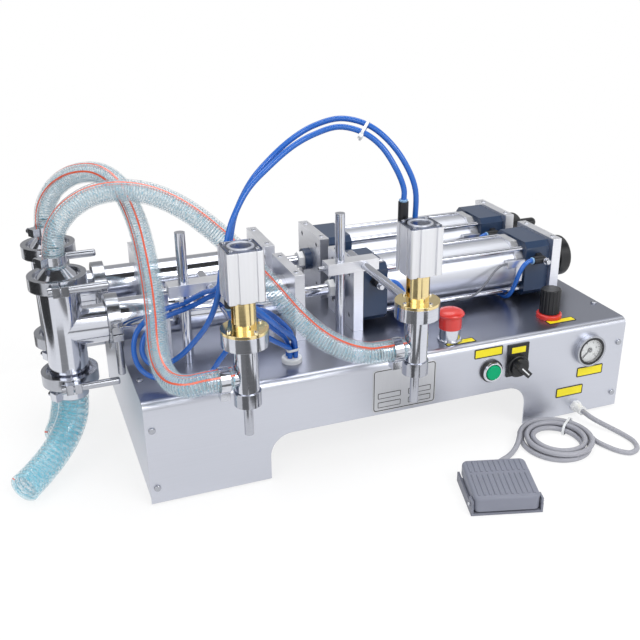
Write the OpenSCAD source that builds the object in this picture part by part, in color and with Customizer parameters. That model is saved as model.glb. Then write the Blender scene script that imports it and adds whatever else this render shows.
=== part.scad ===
// Pneumatic piston filling machine: two pump units on a sheet-metal cabinet,
// two filling nozzles and a foot pedal.
// Origin at the centre of the cabinet's footprint on the table. Millimetres.
// X to the right, Y to the back, Z up.

/* [Cabinet] */
// Length of the cabinet
cab_l = 630; // [600:5:760]
// Depth of the cabinet
cab_d = 335; // [320:5:400]
// Height of the cabinet's top
cab_h = 130; // [124:1:180]
// Thickness of the sheet metal
sheet = 1.5; // [1:0.1:2.5]
// Outer radius of the two long folds
fold_r = 9; // [6:0.5:15]
// Gap under the cover's lower edge
skirt_gap = 3; // [1:0.5:6]
// Length of the cut-out under the cabinet
cut_l = 343; // [200:1:380]
// Middle of the cut-out, from the cabinet's middle
cut_x = -1.5; // [-10:0.5:10]
// Height of the cut-out
cut_h = 60; // [40:1:62]
// Corner radius of the cut-out
cut_r = 27; // [5:1:35]
// Width of the end panels' flanges
flange_w = 32; // [28:1:50]
// Height of the end panels' lower edge
panel_z = 10; // [8:1:14]
// Diameter of a rubber foot
foot_d = 22; // [14:1:26]
// Distance of a foot's centre from the front or back face
foot_in = 24; // [20:1:40]
// Diameter of a cabinet screw
screw_d = 4; // [3:0.5:5]
// Diameter of a cabinet screw's head
screw_head_d = 8; // [7:0.5:10]
// Distance of the cabinet screws from the cabinet's ends
screw_in = 8; // [7:0.5:12]
// Height of the lower cabinet screws
screw_low_z = 23; // [20:1:40]
// Height of the upper cabinet screws
screw_high_z = 97; // [70:1:110]
// Distance of the top screws from the front or back face
screw_top_in = 58; // [30:1:90]

/* [Valve manifold] */
// Length of the manifold
manifold_l = 150; // [80:1:200]
// Depth of the manifold
manifold_d = 60; // [40:1:80]
// Height of the manifold
manifold_h = 22; // [15:1:30]
// Middle of the manifold, from the cabinet's middle
manifold_x = -70; // [-100:1:-50]
// Number of valves under it
valve_count = 4; // [2:1:5]
// Width of one valve
valve_w = 24; // [15:1:28]

/* [Pump units] */
// Front unit's axis, from the cabinet's front face
unit_setback = 136.5; // [125:0.5:150]
// Distance between the two units' axes
unit_pitch = 118; // [105:1:135]
// Height of the axes above the cabinet's top
axis_up = 45; // [40:0.5:60]
// Thickness of an upright plate
plate_t = 13; // [10:0.5:16]
// Width of an upright plate
plate_w = 88; // [80:1:96]
// Height of an upright plate
plate_h = 86; // [82:0.5:86]
// Left face of the saddle plate, from the cabinet's left end
saddle_in = 41; // [30:1:80]
// Left face of the rod plate, from the cabinet's left end
rod_plate_in = 207; // [200:1:215]
// Left face of the nose plate, from the cabinet's left end
nose_plate_in = 284; // [280:1:290]
// Left face of the wheel plate, from the cabinet's left end
wheel_plate_in = 572; // [560:1:590]
// Outer diameter of the product cylinder
product_od = 52; // [50:0.5:52]
// Bore of the product cylinder
product_id = 46; // [40:0.5:47]
// Diameter of the piston rod
rod_d = 14; // [10:0.5:16]
// Length of the product piston
product_piston_l = 20; // [12:1:26]
// Gap in front of the product piston at rest
product_piston_gap = 19; // [5:1:25]
// Length of the air piston
air_piston_l = 24; // [15:1:28]
// Gap between the air piston and its cap at rest
air_piston_gap = 4; // [1:0.5:8]
// Outer diameter of the rod bush
bush_d = 22; // [19:0.5:26]
// Length of the rod bush beyond its plate
bush_out = 12; // [6:1:16]
// Diameter of the nose on the air cylinder
nose_d = 30; // [26:0.5:34]
// Length of the nose beyond its plate
nose_out = 10; // [5:1:14]
// Size of the wiper nut across its corners
wiper_d = 24; // [20:0.5:28]
// Length of the wiper nut
wiper_l = 8; // [4:0.5:10]

/* [Air cylinders] */
// Width and height of an end cap
cap_w = 75; // [72:0.5:80]
// Length of an end cap
cap_l = 36; // [30:1:42]
// Corner chamfer of an end cap
cap_chamfer = 7; // [2:0.5:8]
// Outer diameter of the barrel
barrel_od = 68; // [66:0.5:70]
// Bore of the barrel
barrel_id = 63; // [56:0.5:64]
// Square pitch of the tie rods
tie_pitch = 56.5; // [56:0.5:60]
// Diameter of a tie rod
tie_d = 7; // [5:0.5:7.5]
// Width of the octagonal band across its flats
band_w = 72; // [71:0.1:72.4]
// Thickness of the band
band_t = 10; // [6:1:14]
// Gap between the band and the wheel-end cap
band_gap = 3; // [1:0.5:10]
// Diameter of the handwheel
wheel_d = 56; // [40:1:60]
// Thickness of the handwheel
wheel_t = 18; // [12:1:24]
// Length of the handwheel's hub
hub_l = 15; // [8:1:20]
// Diameter of the handwheel's hub
hub_d = 24; // [18:1:30]
// Diameter of the handwheel's spindle
spindle_d = 12; // [8:0.5:14]
// Reach of the spindle past the wheel-end cap
spindle_in = 34; // [30:1:36]
// Diameter of the crank grip
grip_d = 14; // [10:0.5:16]
// Length of the crank grip
grip_l = 25; // [15:1:30]
// Distance of the crank grip from the wheel's axis
grip_r = 19; // [14:0.5:20]
// Diameter of the stroke stop
stop_d = 30; // [20:1:50]
// Length of the stroke stop
stop_l = 8; // [5:1:10]

/* [Tee valves] */
// Axis of the tees, outside the cabinet's left end
tee_out = 62; // [60:0.5:75]
// Side joint of the tees, outside the cabinet's left end
joint_out = 6; // [6:0.5:8]
// Distance from a tee's centre to its upper and lower joints
tee_reach = 60; // [58:0.5:62]
// Outer diameter of a tee
tee_od = 46; // [44:0.5:48]
// Bore of a tee
tee_id = 42; // [38:0.5:42]
// Diameter of a ferrule
ferrule_d = 57; // [56:0.5:58]
// Thickness of a ferrule
ferrule_t = 4; // [3:0.5:5]
// Thickness of a gasket
gasket_t = 1.5; // [1:0.1:2]
// Outer diameter of a clamp
clamp_od = 66; // [64:0.5:70]
// Width of a clamp
clamp_w = 15; // [14:0.5:18]
// Gap between a clamp's halves
clamp_split = 1.5; // [0.5:0.5:3]
// Reach of a clamp's bolt ears beyond its ring
ear_out = 11; // [9:0.5:14]
// Thickness of a clamp's bolt ear
ear_t = 8; // [5:0.5:10]
// Diameter of a clamp bolt
bolt_d = 6; // [4:0.5:7]
// Diameter of a clamp's handle nut
nut_d = 9; // [8:0.5:10]
// Length of a clamp's handle nut
nut_l = 44; // [20:1:50]
// Diameter of a clamp's hinge pin
hinge_pin_d = 5; // [3:0.5:6]
// Diameter of a hinge knuckle
knuckle_d = 10; // [8:0.5:11]
// Diameter of a check ball
ball_d = 32; // [28:0.5:34]
// Diameter of a check ball's seat
seat_d = 26; // [22:0.5:27]
// Thickness of the discharge seat
seat_t = 3; // [2:0.5:4]
// Diameter of a pin above a check ball
cage_pin_d = 2.4; // [2:0.1:2.6]
// Height of the discharge seat above the tee's centre
seat_up = 24; // [23:0.5:26]
// Lift of a check ball
ball_lift = 7; // [4:0.5:7]

/* [Hoses and barbs] */
// Outer diameter of a product hose
hose_od = 25; // [23:0.5:28]
// Bore of a product hose
hose_id = 18; // [16:0.5:20]
// Outer diameter of a suction hose
suction_od = 36; // [34:0.5:40]
// Bore of a suction hose
suction_id = 29; // [27:0.5:31]
// Length of a nozzle's hose barb
port_barb_l = 27; // [20:1:27]
// Length of an outlet barb
outlet_barb_l = 22; // [15:1:22]
// Length of an inlet barb
inlet_barb_l = 19; // [15:1:20]
// Length of the outlet barb's cone
outlet_cone_l = 10; // [6:1:14]
// Length of the inlet barb's cone
inlet_cone_l = 6; // [4:1:10]
// Wall of a hose barb
barb_wall = 2.5; // [1.5:0.5:4]
// Width of a hose clip
clip_w = 10; // [7:0.5:13]
// Thickness of a hose clip's band
clip_t = 0.9; // [0.6:0.1:1.5]
// Width of a hose clip's screw housing
clip_house_w = 12; // [8:0.5:14]
// Height of a hose clip's screw housing
clip_house_h = 9; // [6:0.5:12]
// Diameter of a hose clip's screw head
clip_screw_d = 7; // [5:0.5:8]

/* [Stands] */
// Diameter of a stand rod
stand_d = 12; // [8:0.5:16]
// Height of a stand rod
stand_l = 160; // [120:1:165]
// Stand rods, from the cabinet's front face
stand_setback = 85; // [80:1:88]
// Height of the cross arms above the cabinet's top
arm_up = 93.5; // [93.5:0.5:110]
// Diameter of a cross arm
arm_d = 10; // [8:0.5:12]
// Length of a cross arm behind its stand
arm_tail = 37; // [15:1:38]
// Distance from a stand rod to its cross arm
arm_offset = 28.75; // [22:0.25:34]
// Length of a clamp bar
bar_l = 66; // [60:1:72]
// Length of a clamp bar left of its stand
bar_left = 19; // [15:0.5:24]
// Depth of a clamp bar
bar_d = 20; // [18:0.5:26]
// Height of a clamp bar
bar_h = 14; // [13:0.5:20]
// Diameter of a clamp screw
clamp_screw_d = 6; // [4:0.5:8]
// Length of a clamp screw outside its bar
clamp_screw_out = 9; // [5:0.5:14]

/* [Nozzles] */
// Left nozzle's axis, from the cabinet's left end
nozzle_in = 100; // [80:1:110]
// Distance between the nozzles
nozzle_pitch = 191.5; // [150:0.5:260]
// Nozzle axes, in front of the cabinet's front face
nozzle_reach = 65; // [62:0.5:72]
// Diameter of a tip
tip_d = 10; // [8:0.5:14]
// Bore of a tip
tip_bore = 7; // [3:0.5:7]
// Length of a tip
tip_l = 36; // [15:1:60]
// Diameter of a nozzle cap
nozzle_cap_d = 29; // [26:0.5:34]
// Length of a nozzle cap
nozzle_cap_l = 16; // [10:0.5:24]
// Thickness of a nozzle cap's floor
nozzle_floor = 3.5; // [2:0.5:5]
// Diameter of a nozzle body
body_d = 26; // [24:0.5:30]
// Bore of a nozzle body
body_bore = 18; // [14:0.5:20]
// Length of a nozzle body below its flange
body_l = 52; // [46:0.5:60]
// Diameter of a nozzle's flange
flange_d = 49; // [40:0.5:54]
// Thickness of a nozzle's flange
flange_t = 15; // [12:0.5:18]
// Hose port's height below the flange
port_down = 36; // [30:0.5:38]
// Thickness of the yoke's disc
disc_t = 3.5; // [2:0.5:6]
// Diameter of the yoke's column
column_d = 25; // [22:0.5:27]
// Bore of the yoke's column
column_bore = 13; // [10:0.5:15]
// Height of the yoke's column
column_l = 32; // [30:0.5:45]
// Width of the yoke's window
window_w = 9; // [6:0.5:10]
// Width and depth of an actuator
act_w = 37; // [34:0.5:42]
// Height of an actuator
act_h = 52; // [50:1:70]
// Bore of an actuator
act_bore = 20; // [16:0.5:22]
// Thickness of an actuator's lower end
act_floor = 6; // [4:0.5:8]
// Length of an actuator's bore
act_bore_l = 31; // [28:1:36]
// Width of an actuator's groove
groove_w = 4; // [3:0.5:6]
// Depth of an actuator's groove
groove_t = 2; // [1:0.5:3]
// Diameter of a nozzle stem
stem_d = 8; // [6:0.5:9]
// Diameter of a stem's plug
plug_d = 12; // [10:0.5:13]
// Length of a stem's plug
plug_l = 14; // [8:1:18]
// Length of a stem's piston
stem_piston_l = 8; // [5:0.5:10]

/* [Fittings] */
// Diameter of an air tube
tube_d = 6; // [4:0.5:7]
// Diameter of a fitting's body
fit_d = 11; // [9:0.5:11.5]
// Size of a fitting's hexagon across its corners
fit_hex_d = 13; // [10:0.5:14]
// Height of a fitting's hexagon
fit_hex_h = 3; // [2:0.5:5]
// Diameter of a fitting's thread
fit_thread_d = 9.6; // [7:0.1:9.8]
// Length of a fitting's thread
fit_thread_l = 5; // [3:0.5:6]
// Diameter of the air inlet
inlet_d = 18; // [14:0.5:22]
// Bore of the air inlet
inlet_bore = 8.1; // [6.1:0.5:10.1]
// Length of the air inlet
inlet_l = 20; // [16:1:30]
// Air inlet, from the cabinet's right end
inlet_in = 65; // [50:1:120]
// Height of the air inlet
inlet_z = 80; // [40:1:100]

/* [Controls] */
// Emergency stop, from the cabinet's middle
estop_x = 70; // [40:1:100]
// Emergency stop, from the cabinet's front face
estop_in = 26.5; // [22:0.5:40]
// Diameter of the emergency stop's head
estop_d = 34; // [30:0.5:40]
// Diameter of the emergency stop's collar
collar_d = 26; // [24:0.5:29]
// Height of the emergency stop's collar
collar_h = 17; // [10:0.5:20]
// Travel of the emergency stop
estop_travel = 4.5; // [3:0.5:6]
// Height of the emergency stop's head
estop_h = 20; // [14:0.5:24]
// Regulator, from the cabinet's middle
regulator_x = 225; // [190:1:240]
// Regulator, from the cabinet's front face
regulator_in = 42.5; // [36:0.5:50]
// Diameter of the regulator's ring
ring_d = 33; // [30:0.5:38]
// Height of the regulator's ring
ring_h = 6; // [4:0.5:10]
// Diameter of the regulator's knob
knob_d = 26; // [22:0.5:28]
// Height of the regulator's knob
knob_h = 33; // [20:0.5:40]
// Diameter of the regulator's stem
knob_stem_d = 18; // [12:0.5:19]
// Start button, from the cabinet's middle
button_x = 116; // [90:0.5:118]
// Height of the start button
button_z = 91; // [80:0.5:95]
// Diameter of the start button's bezel
bezel_d = 30; // [28:0.5:32]
// Thickness of the bezels
bezel_t = 4; // [3:0.5:6]
// Diameter of the start button
button_d = 19; // [16:0.5:20]
// Start button beyond its bezel
button_out = 5; // [4:0.5:7]
// Selector, from the cabinet's middle
selector_x = 153; // [150:0.5:160]
// Height of the selector
selector_z = 92; // [85:0.5:96]
// Width of the selector's plate
selector_w = 30; // [30:0.5:38]
// Lower edge of the selector's plate below its axis
selector_low = 14; // [12:0.5:18]
// Upper edge of the selector's plate above its axis
selector_high = 30; // [20:0.5:31]
// Thickness of the selector's plate
selector_t = 2; // [1:0.5:4]
// Length of the selector's lever
lever_l = 24; // [16:0.5:26]
// Width of the selector's lever
lever_w = 8; // [5:0.5:10]
// Height of the selector's lever
lever_h = 9; // [5:0.5:12]
// Diameter of the panel holes
panel_hole_d = 22.4; // [21:0.1:24]
// Depth of the switch blocks behind the panel
switch_l = 32; // [20:1:45]
// Gauge, from the cabinet's middle
gauge_x = 261; // [245:0.5:262]
// Height of the gauge
gauge_z = 94.5; // [80:0.5:96]
// Diameter of the gauge
gauge_d = 43; // [38:0.5:44]
// Gauge beyond the cabinet's front face
gauge_out = 7; // [6.5:0.5:14]
// Depth of the gauge's open front
gauge_cup = 5.5; // [4:0.5:6]
// Wall of the gauge's case
gauge_wall = 2.5; // [1.5:0.5:4]
// Diameter of the gauge's pivot
pivot_d = 2; // [1.5:0.1:3]
// Length of the gauge's needle
needle_l = 14; // [10:0.5:15]
// Cable gland, from the cabinet's middle
gland_x = 250; // [240:1:255]
// Height of the cable gland
gland_z = 14; // [13:0.5:30]
// Diameter of the cable gland
gland_d = 16; // [12:0.5:18]
// Length of the cable gland
gland_l = 17; // [12:0.5:17]
// Tube grommet, from the cabinet's middle
grommet_x = -130.5; // [-140:0.5:-120]
// Tube grommet, from the cabinet's front face
grommet_in = 42.5; // [38:0.5:47]
// Diameter of the tube grommet
grommet_d = 24; // [22:0.5:30]
// Height of the tube grommet
grommet_h = 6; // [3:0.5:6]

/* [Pedal] */
// Middle of the pedal, from the cabinet's middle
pedal_x = 59; // [30:1:80]
// Middle of the pedal, in front of the cabinet's front face
pedal_reach = 124.5; // [100:0.5:160]
// Turn of the pedal on the table
pedal_turn = -16; // [-30:1:30]
// Width of the pedal
pedal_w = 81; // [70:1:100]
// Depth of the pedal
pedal_d = 70; // [60:1:90]
// Height of the treadle's near edge
treadle_low = 23; // [20:0.5:26]
// Height of the treadle's far edge
treadle_high = 29; // [26:0.5:34]
// Wall of the pedal
pedal_wall = 2.5; // [2:0.5:3]
// Height of the base's side walls
base_h = 12; // [8:0.5:14]
// Diameter of the pedal's pin
pedal_pin_d = 4; // [3:0.5:5]
// Height of the pedal's pin
pedal_pin_z = 11.5; // [10:0.5:13]
// Distance of the pin from the near edge
pedal_pin_in = 7; // [6:0.5:10]
// Height of the treadle's ribs
rib_h = 1; // [0.5:0.1:2]
// Number of ribs across the treadle
rib_count = 11; // [5:2:15]

/* [Pedal cable] */
// Diameter of the cable
cable_d = 6.5; // [5:0.25:6.5]
// Outermost radius of the coil's turns
coil_r = 47; // [44:0.5:48]
// Step between neighbouring turns
coil_step = 8.5; // [8:0.1:9]
// Rise between the coil's two layers
coil_rise = 7; // [7:0.1:8]
// Turns in the lower layer
coil_turns = 2; // [1:1:3]

/* [Fits] */
// Radial clearance of a moving fit
run_fit = 0.05; // [0.02:0.01:0.1]
// Radial clearance of a fixed fit
slip_fit = 0.1; // [0.05:0.01:0.2]
// Gap left between parts that stay apart
rest_gap = 0.3; // [0.2:0.1:0.6]

/* [Hidden] */
$fn = 64;
// Overrun of a cut past the face it leaves
over = 1;
hex = 6;
left = -cab_l / 2;
right = cab_l / 2;
front = -cab_d / 2;
back = cab_d / 2;
under_top = cab_h - sheet;

// Pump units
unit_ys = [front + unit_setback, front + unit_setback + unit_pitch];
axis_z = cab_h + axis_up;
saddle_x = left + saddle_in;
rod_plate_x = left + rod_plate_in;
nose_plate_x = left + nose_plate_in;
wheel_plate_x = left + wheel_plate_in;
front_cap_x = nose_plate_x + plate_t;
barrel_x = front_cap_x + cap_l;
rear_cap_x = wheel_plate_x - cap_l;
wheel_plate_end = wheel_plate_x + plate_t;
tee_x = left - tee_out;
joint_x = left - joint_out;
branch_l = joint_x - tee_x - gasket_t / 2;
product_x = joint_x + gasket_t / 2;
product_piston_x = product_x + product_piston_gap;
air_piston_x = barrel_x + air_piston_gap;
hub_x = wheel_plate_end + rest_gap;
wheel_x = hub_x + hub_l;
stop_x = rear_cap_x - rest_gap - stop_l;
grip_turns = [215, 40];
plate_bolt_d = 6.6;
band_x = rear_cap_x - band_gap - band_t;
sensor_size = [26, 8, 10];
sensor_up = 7;

// Tee valves and clamps
clamp_lip_r = product_od / 2 + slip_fit + 0.4;
clamp_groove = 2 * ferrule_t + gasket_t + 2 * slip_fit;
bolt_y = -(clamp_od / 2 + ear_out - 5.5);
hinge_y = clamp_od / 2 + knuckle_d / 2 + 1.5;
ear_w = 12;
bolt_head_l = 5;
ball_r = ball_d / 2;
ball_seat_h = sqrt(pow(ball_r, 2) - pow(seat_d / 2, 2)) + rest_gap;
inlet_top = -tee_reach - gasket_t / 2;
suction_ball_z = inlet_top + ball_seat_h;
discharge_ball_z = seat_up + ball_seat_h;
suction_pin_z = suction_ball_z + ball_r + ball_lift + rest_gap + cage_pin_d / 2;
discharge_pin_z = discharge_ball_z + ball_r + ball_lift + rest_gap + cage_pin_d / 2;

// Hoses
hose_sides = 12;
flat_share = cos(180 / hose_sides);
hose_barb_r = hose_id / 2 * flat_share - slip_fit;
suction_barb_r = suction_id / 2 * flat_share - slip_fit;
outlet_z = tee_reach + gasket_t / 2;
outlet_shoulder = outlet_z + ferrule_t + outlet_cone_l;
inlet_shoulder = inlet_top - ferrule_t - inlet_cone_l;

// Stands and nozzles
nozzle_xs = [left + nozzle_in, left + nozzle_in + nozzle_pitch];
nozzle_y = front - nozzle_reach;
stand_y = front + stand_setback;
arm_z = cab_h + arm_up;
disc_gap = 0.5;
flange_top = arm_z + arm_d / 2 + disc_gap;
disc_top = flange_top + disc_t;
flange_z = flange_top - flange_t;
body_z = flange_z - body_l;
nozzle_cap_z = body_z - nozzle_cap_l;
tip_z = nozzle_cap_z - tip_l;
port_z = flange_z - port_down;
act_z = disc_top + column_l;
arm_in = 10;
arm_seat = flange_d / 2 - arm_in;
arm_seat_y = nozzle_y + arm_seat;
plug_z = nozzle_cap_z + nozzle_floor + rest_gap;
stem_piston_z = act_z + act_floor + 3;
pack_l = 10;
window_z = disc_top + 5.5;
window_h = 23;
port_gap = 1.5;

// Fittings
act_back = act_w / 2;
act_port_ups = [9.5, 44.5];
act_port_zs = [for (up = act_port_ups) act_z + up];
port_offset = 7;
upper_sides = [1, -1];
outlet_turns = [90, -90];
elbow_rise = 8;
upper_reaches = [29, 25];
lower_reaches = [29, 18];
cap_reach = 14;
cap_rise = 11;
cap_port_up = 17;
low_rise = 5.5;
low_reach = 11;
low_setback = 24;
cap_port_xs = [front_cap_x + cap_l / 2, rear_cap_x + cap_l / 2];
low_port_ins = [24, 21];
low_port_xs = [barrel_x + low_port_ins[0], rear_cap_x - low_port_ins[1]];

// Pedal
pedal_y = front - pedal_reach;
pedal_near = -pedal_d / 2;
pedal_far = pedal_d / 2;
pedal_floor = 3;
treadle_w = pedal_w - 2 * pedal_wall - 1;
treadle_far = pedal_far - 1;
pin_y = pedal_near + pedal_pin_in;
skirt_low = 5;
skirt_high = 15;
switch_size = [30, 20, 12];
ear_h = 6.5;
cable_port = 8;
inlet_size = [14, 12, 5.6];

// Cable coil on the table
cable_z = cable_d / 2 + 0.15;
coil_x = 185;
coil_y = -223;
coil_steps = 24;
coil_climb = 180;
coil_exit = 143;
coil_down = 360 * coil_turns;
coil_total = coil_down + coil_climb + 360 * (coil_turns - 1) + coil_climb + coil_exit;
coil_count = ceil(coil_total / 360 * coil_steps);
coil_sides = 6;
tube_sides = 8;

// The coil winds in on the lower layer, climbs where it turns back, and winds out on the upper layer
coil_in_r = coil_r - coil_step * coil_turns;
function coil_radius(a) = a < coil_down ? coil_r - coil_step * a / 360
    : a < coil_down + coil_climb ? coil_in_r : coil_in_r + coil_step * (a - coil_down - coil_climb) / 360;
function coil_height(a) = cable_z + coil_rise * min(1, max(0, (a - coil_down) / coil_climb));
function coil_at(a, run) = [coil_x, coil_y, coil_height(a)]
    + coil_radius(a) * [cos(a), sin(a), 0] + run * [-sin(a), cos(a), 0];
coil_points = [
    coil_at(0, -cable_d),
    for (i = [0 : coil_count]) coil_at(coil_total * i / coil_count, 0),
    coil_at(coil_total, cable_d)];
half_turn = coil_steps / 2;
coil_gap = min([for (i = [0 : coil_count - half_turn]) for (j = [i + half_turn : coil_count])
    norm(coil_points[i] - coil_points[j])]) - cable_d;
echo(coil_least_gap = coil_gap);

// Routes of the hoses, tubes and cable, as points along their middle lines
front_hose_route = [
    [-377, -31, 250], [-377, -31, 272], [-371, -33, 295], [-355, -38, 316], [-330, -45, 331],
    [-300, -57, 337], [-268, -74, 333], [-238, -96, 319], [-211, -122, 297], [-188, -147, 272],
    [-167, -172, 246], [-147, -195, 219], [-127, -212, 199], [-105, -224, 186], [-82, -231, 179],
    [-66, -232.5, 178], [-38, -232.5, 178]];
rear_hose_route = [
    [-377, 87, 250], [-377, 87, 272], [-372, 84, 293], [-359, 73, 315], [-338, 54, 332],
    [-314, 30, 338], [-297, 4, 331], [-288, -22, 314], [-283, -50, 291], [-282, -78, 264],
    [-283, -104, 237], [-286, -130, 212], [-291, -160, 190], [-292, -186, 179], [-287, -210, 174],
    [-275, -227, 175], [-257, -232.5, 178], [-229.5, -232.5, 178]];
front_suction_route = [
    [-377, -31, 104], [-377, -31, 82], [-381, -36, 62], [-392, -48, 45], [-408, -66, 33],
    [-427, -87, 25], [-447, -110, 21]];
rear_suction_route = [
    [-377, 87, 104], [-377, 87, 84], [-378, 82, 64], [-381, 68, 46], [-386, 46, 32],
    [-392, 22, 24], [-399, -2, 21]];
outer_tube_route = [
    [-134, -121.5, 136], [-134, -121.5, 150], [-142, -131, 166], [-162, -153, 190], [-184, -171, 218],
    [-203, -171, 238], [-216, -155, 240], [-225, -134, 230], [-236, -113, 215], [-247, -95, 203],
    [-268, -96, 198], [-285, -99, 191], [-297, -104, 179], [-301, -110, 165], [-296, -118, 155],
    [-284, -129, 154], [-269, -142, 166], [-255, -157, 186], [-241, -182, 219], [-232, -197, 253],
    [-226, -195, 282], [-219, -193, 307], [-210, -188, 330], [-190, -177, 356], [-162, -163, 374],
    [-135, -158, 391], [-110, -158, 402], [-87, -167, 409], [-66, -181, 404], [-50, -193, 390],
    [-38, -203, 368], [-30.5, -206, 348], [-30.5, -206, 334]];
inner_tube_route = [
    [-134, -128.5, 136], [-134, -128.5, 148], [-144, -139, 158], [-168, -164, 182], [-194, -187, 208],
    [-214, -195, 203], [-230, -187, 180], [-240, -170, 156], [-264, -151, 145], [-290, -132, 141],
    [-305, -119, 148], [-310, -110, 165], [-305, -103, 185], [-289, -97, 199], [-269, -94, 206],
    [-248, -94, 210], [-239, -112, 222], [-231, -137, 237], [-226, -165, 250], [-221, -183, 268],
    [-218, -186, 284], [-212, -183, 309], [-203, -175, 333], [-183, -164, 360], [-158, -152, 379],
    [-133, -150, 397], [-108, -150, 409], [-83, -160, 416], [-60, -175, 411], [-42, -189, 396],
    [-27, -200, 373], [-17, -206, 345], [-16.5, -206, 310], [-16.5, -206, 292]];
upper_port_route = [
    [-127, -128.5, 136], [-127, -128.5, 150], [-133, -139, 166], [-151, -162, 188], [-174, -190, 215],
    [-196, -204, 240], [-207, -206, 256], [-208, -206, 268], [-208, -206, 280]];
lower_port_route = [
    [-127, -121.5, 136], [-127, -121.5, 154], [-135, -131, 173], [-155, -154, 199], [-178, -176, 222],
    [-203, -196, 235], [-218, -205, 233], [-222, -206, 238], [-222, -206, 245]];
left_cap_route = [
    [14.1, -79.5, 192], [20, -79.5, 192], [28, -79.5, 187], [35, -79, 176], [39, -76, 161], [41, -70, 146],
    [42, -61, 138], [42, -48, 135.5], [42, -18.1, 135.5]];
right_cap_route = [
    [224.9, -79.5, 192], [219, -79.5, 192], [211, -79.5, 187], [205, -79, 176], [202, -76, 161],
    [200, -70, 146], [200, -61, 138], [200, -48, 135.5], [200, -18.1, 135.5]];
gland_route = [
    [250, -184.5, 14], [250, -192, 14], [254, -202, 11], [263, -216, 7], [273, -236, 3.5],
    [275, -256, 3.5], [268, -272, 3.5], [254, -277, 3.5], [243, -268, 3.5], [236, -254, 3.5],
    [232, -240, 3.4], [232, -229.6, 3.4]];
pedal_route = [
    coil_at(coil_total, cable_d + 0.1), coil_at(coil_total, 2 * cable_d), [133, -214, 8], [123, -222, 5],
    [111, -229, 3.5], [96, -235, 3.5], [86, -242, 4], [79.1, -251, 5], [76.4, -260.5, 5]];

// Sweeping a round section along a route
function unit(v) = v / norm(v);
function heading(p, i) = unit(p[min(i + 1, len(p) - 1)] - p[max(i - 1, 0)]);
function flatten_to(n, t) = unit(n - (n * t) * t);
function first_side(t) = flatten_to(abs(t.x) < 0.9 ? [1, 0, 0] : [0, 0, 1], t);
function sides_along(p) = [
    for (i = 0, n = first_side(heading(p, 0)); i < len(p);
        i = i + 1, n = i < len(p) ? flatten_to(n, heading(p, i)) : n) n];
function ring_at(c, t, n, r, k) = [
    for (j = [0 : k - 1]) c + r * (cos(360 * j / k) * n + sin(360 * j / k) * cross(t, n))];
function rings(p, r, k) = let (n = sides_along(p)) [
    for (i = [0 : len(p) - 1]) each ring_at(p[i], heading(p, i), n[i], r, k)];
function wall_faces(count, k, base, inward) = [
    for (i = [0 : count - 2]) for (j = [0 : k - 1])
        let (a = base + i * k + j, b = base + i * k + (j + 1) % k)
            each inward ? [[a, b + k, b], [a, a + k, b + k]] : [[a, b, b + k], [a, b + k, a + k]]];

// A solid cord along a route
module cord(route, r, k) {
    last = (len(route) - 1) * k;
    start_cap = [for (j = [1 : k - 2]) [0, j + 1, j]];
    end_cap = [for (j = [1 : k - 2]) [last, last + j, last + j + 1]];
    polyhedron(points = rings(route, r, k),
        faces = concat(wall_faces(len(route), k, 0, false), start_cap, end_cap));
}

// A hollow hose along a route
module hose(route, r_out, r_in) {
    k = hose_sides;
    count = len(route);
    inner = count * k;
    last = (count - 1) * k;
    start_rim = [for (j = [0 : k - 1]) let (m = (j + 1) % k)
        each [[j, inner + j, inner + m], [j, inner + m, m]]];
    end_rim = [for (j = [0 : k - 1]) let (m = (j + 1) % k)
        each [[last + j, last + m, inner + last + m], [last + j, inner + last + m, inner + last + j]]];
    walls = concat(wall_faces(count, k, 0, false), wall_faces(count, k, inner, true));
    polyhedron(points = concat(rings(route, r_out, k), rings(route, r_in, k)),
        faces = concat(walls, start_rim, end_rim));
}

// Shapes used by several pieces
module rod_x(x, l, r) { translate([x, 0, 0]) rotate([0, 90, 0]) cylinder(h = l, r = r); }
module rod_y(y, l, r) { translate([0, y, 0]) rotate([-90, 0, 0]) cylinder(h = l, r = r); }
module tube_x(x, l, r_out, r_in) {
    difference() {
        rod_x(x, l, r_out);
        rod_x(x - over, l + 2 * over, r_in);
    }
}
module extrude_x(x, l) { translate([x, 0, 0]) rotate([90, 0, 90]) linear_extrude(l) children(); }
module extrude_y(y, l) { translate([0, y + l, 0]) rotate([90, 0, 0]) linear_extrude(l) children(); }
module block(size) { translate([-size.x / 2, -size.y / 2, 0]) cube(size); }
module chamfered_square(w, c) {
    h = w / 2;
    polygon([[-h, c - h], [c - h, -h], [h - c, -h], [h, c - h],
        [h, h - c], [h - c, h], [c - h, h], [-h, h - c]]);
}
module round_topped(w, h, r) {
    translate([-w / 2, 0]) square([w, h - r]);
    translate([r - w / 2, 0]) square([w - 2 * r, h]);
    for (s = [-1, 1]) translate([s * (w / 2 - r), h - r]) circle(r);
}
module domed_disc(r, h, edge) {
    rotate_extrude() {
        square([r - edge, h]);
        square([r, h - edge]);
        intersection() {
            translate([r - edge, h - edge]) circle(edge);
            square([r, h]);
        }
    }
}

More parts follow.
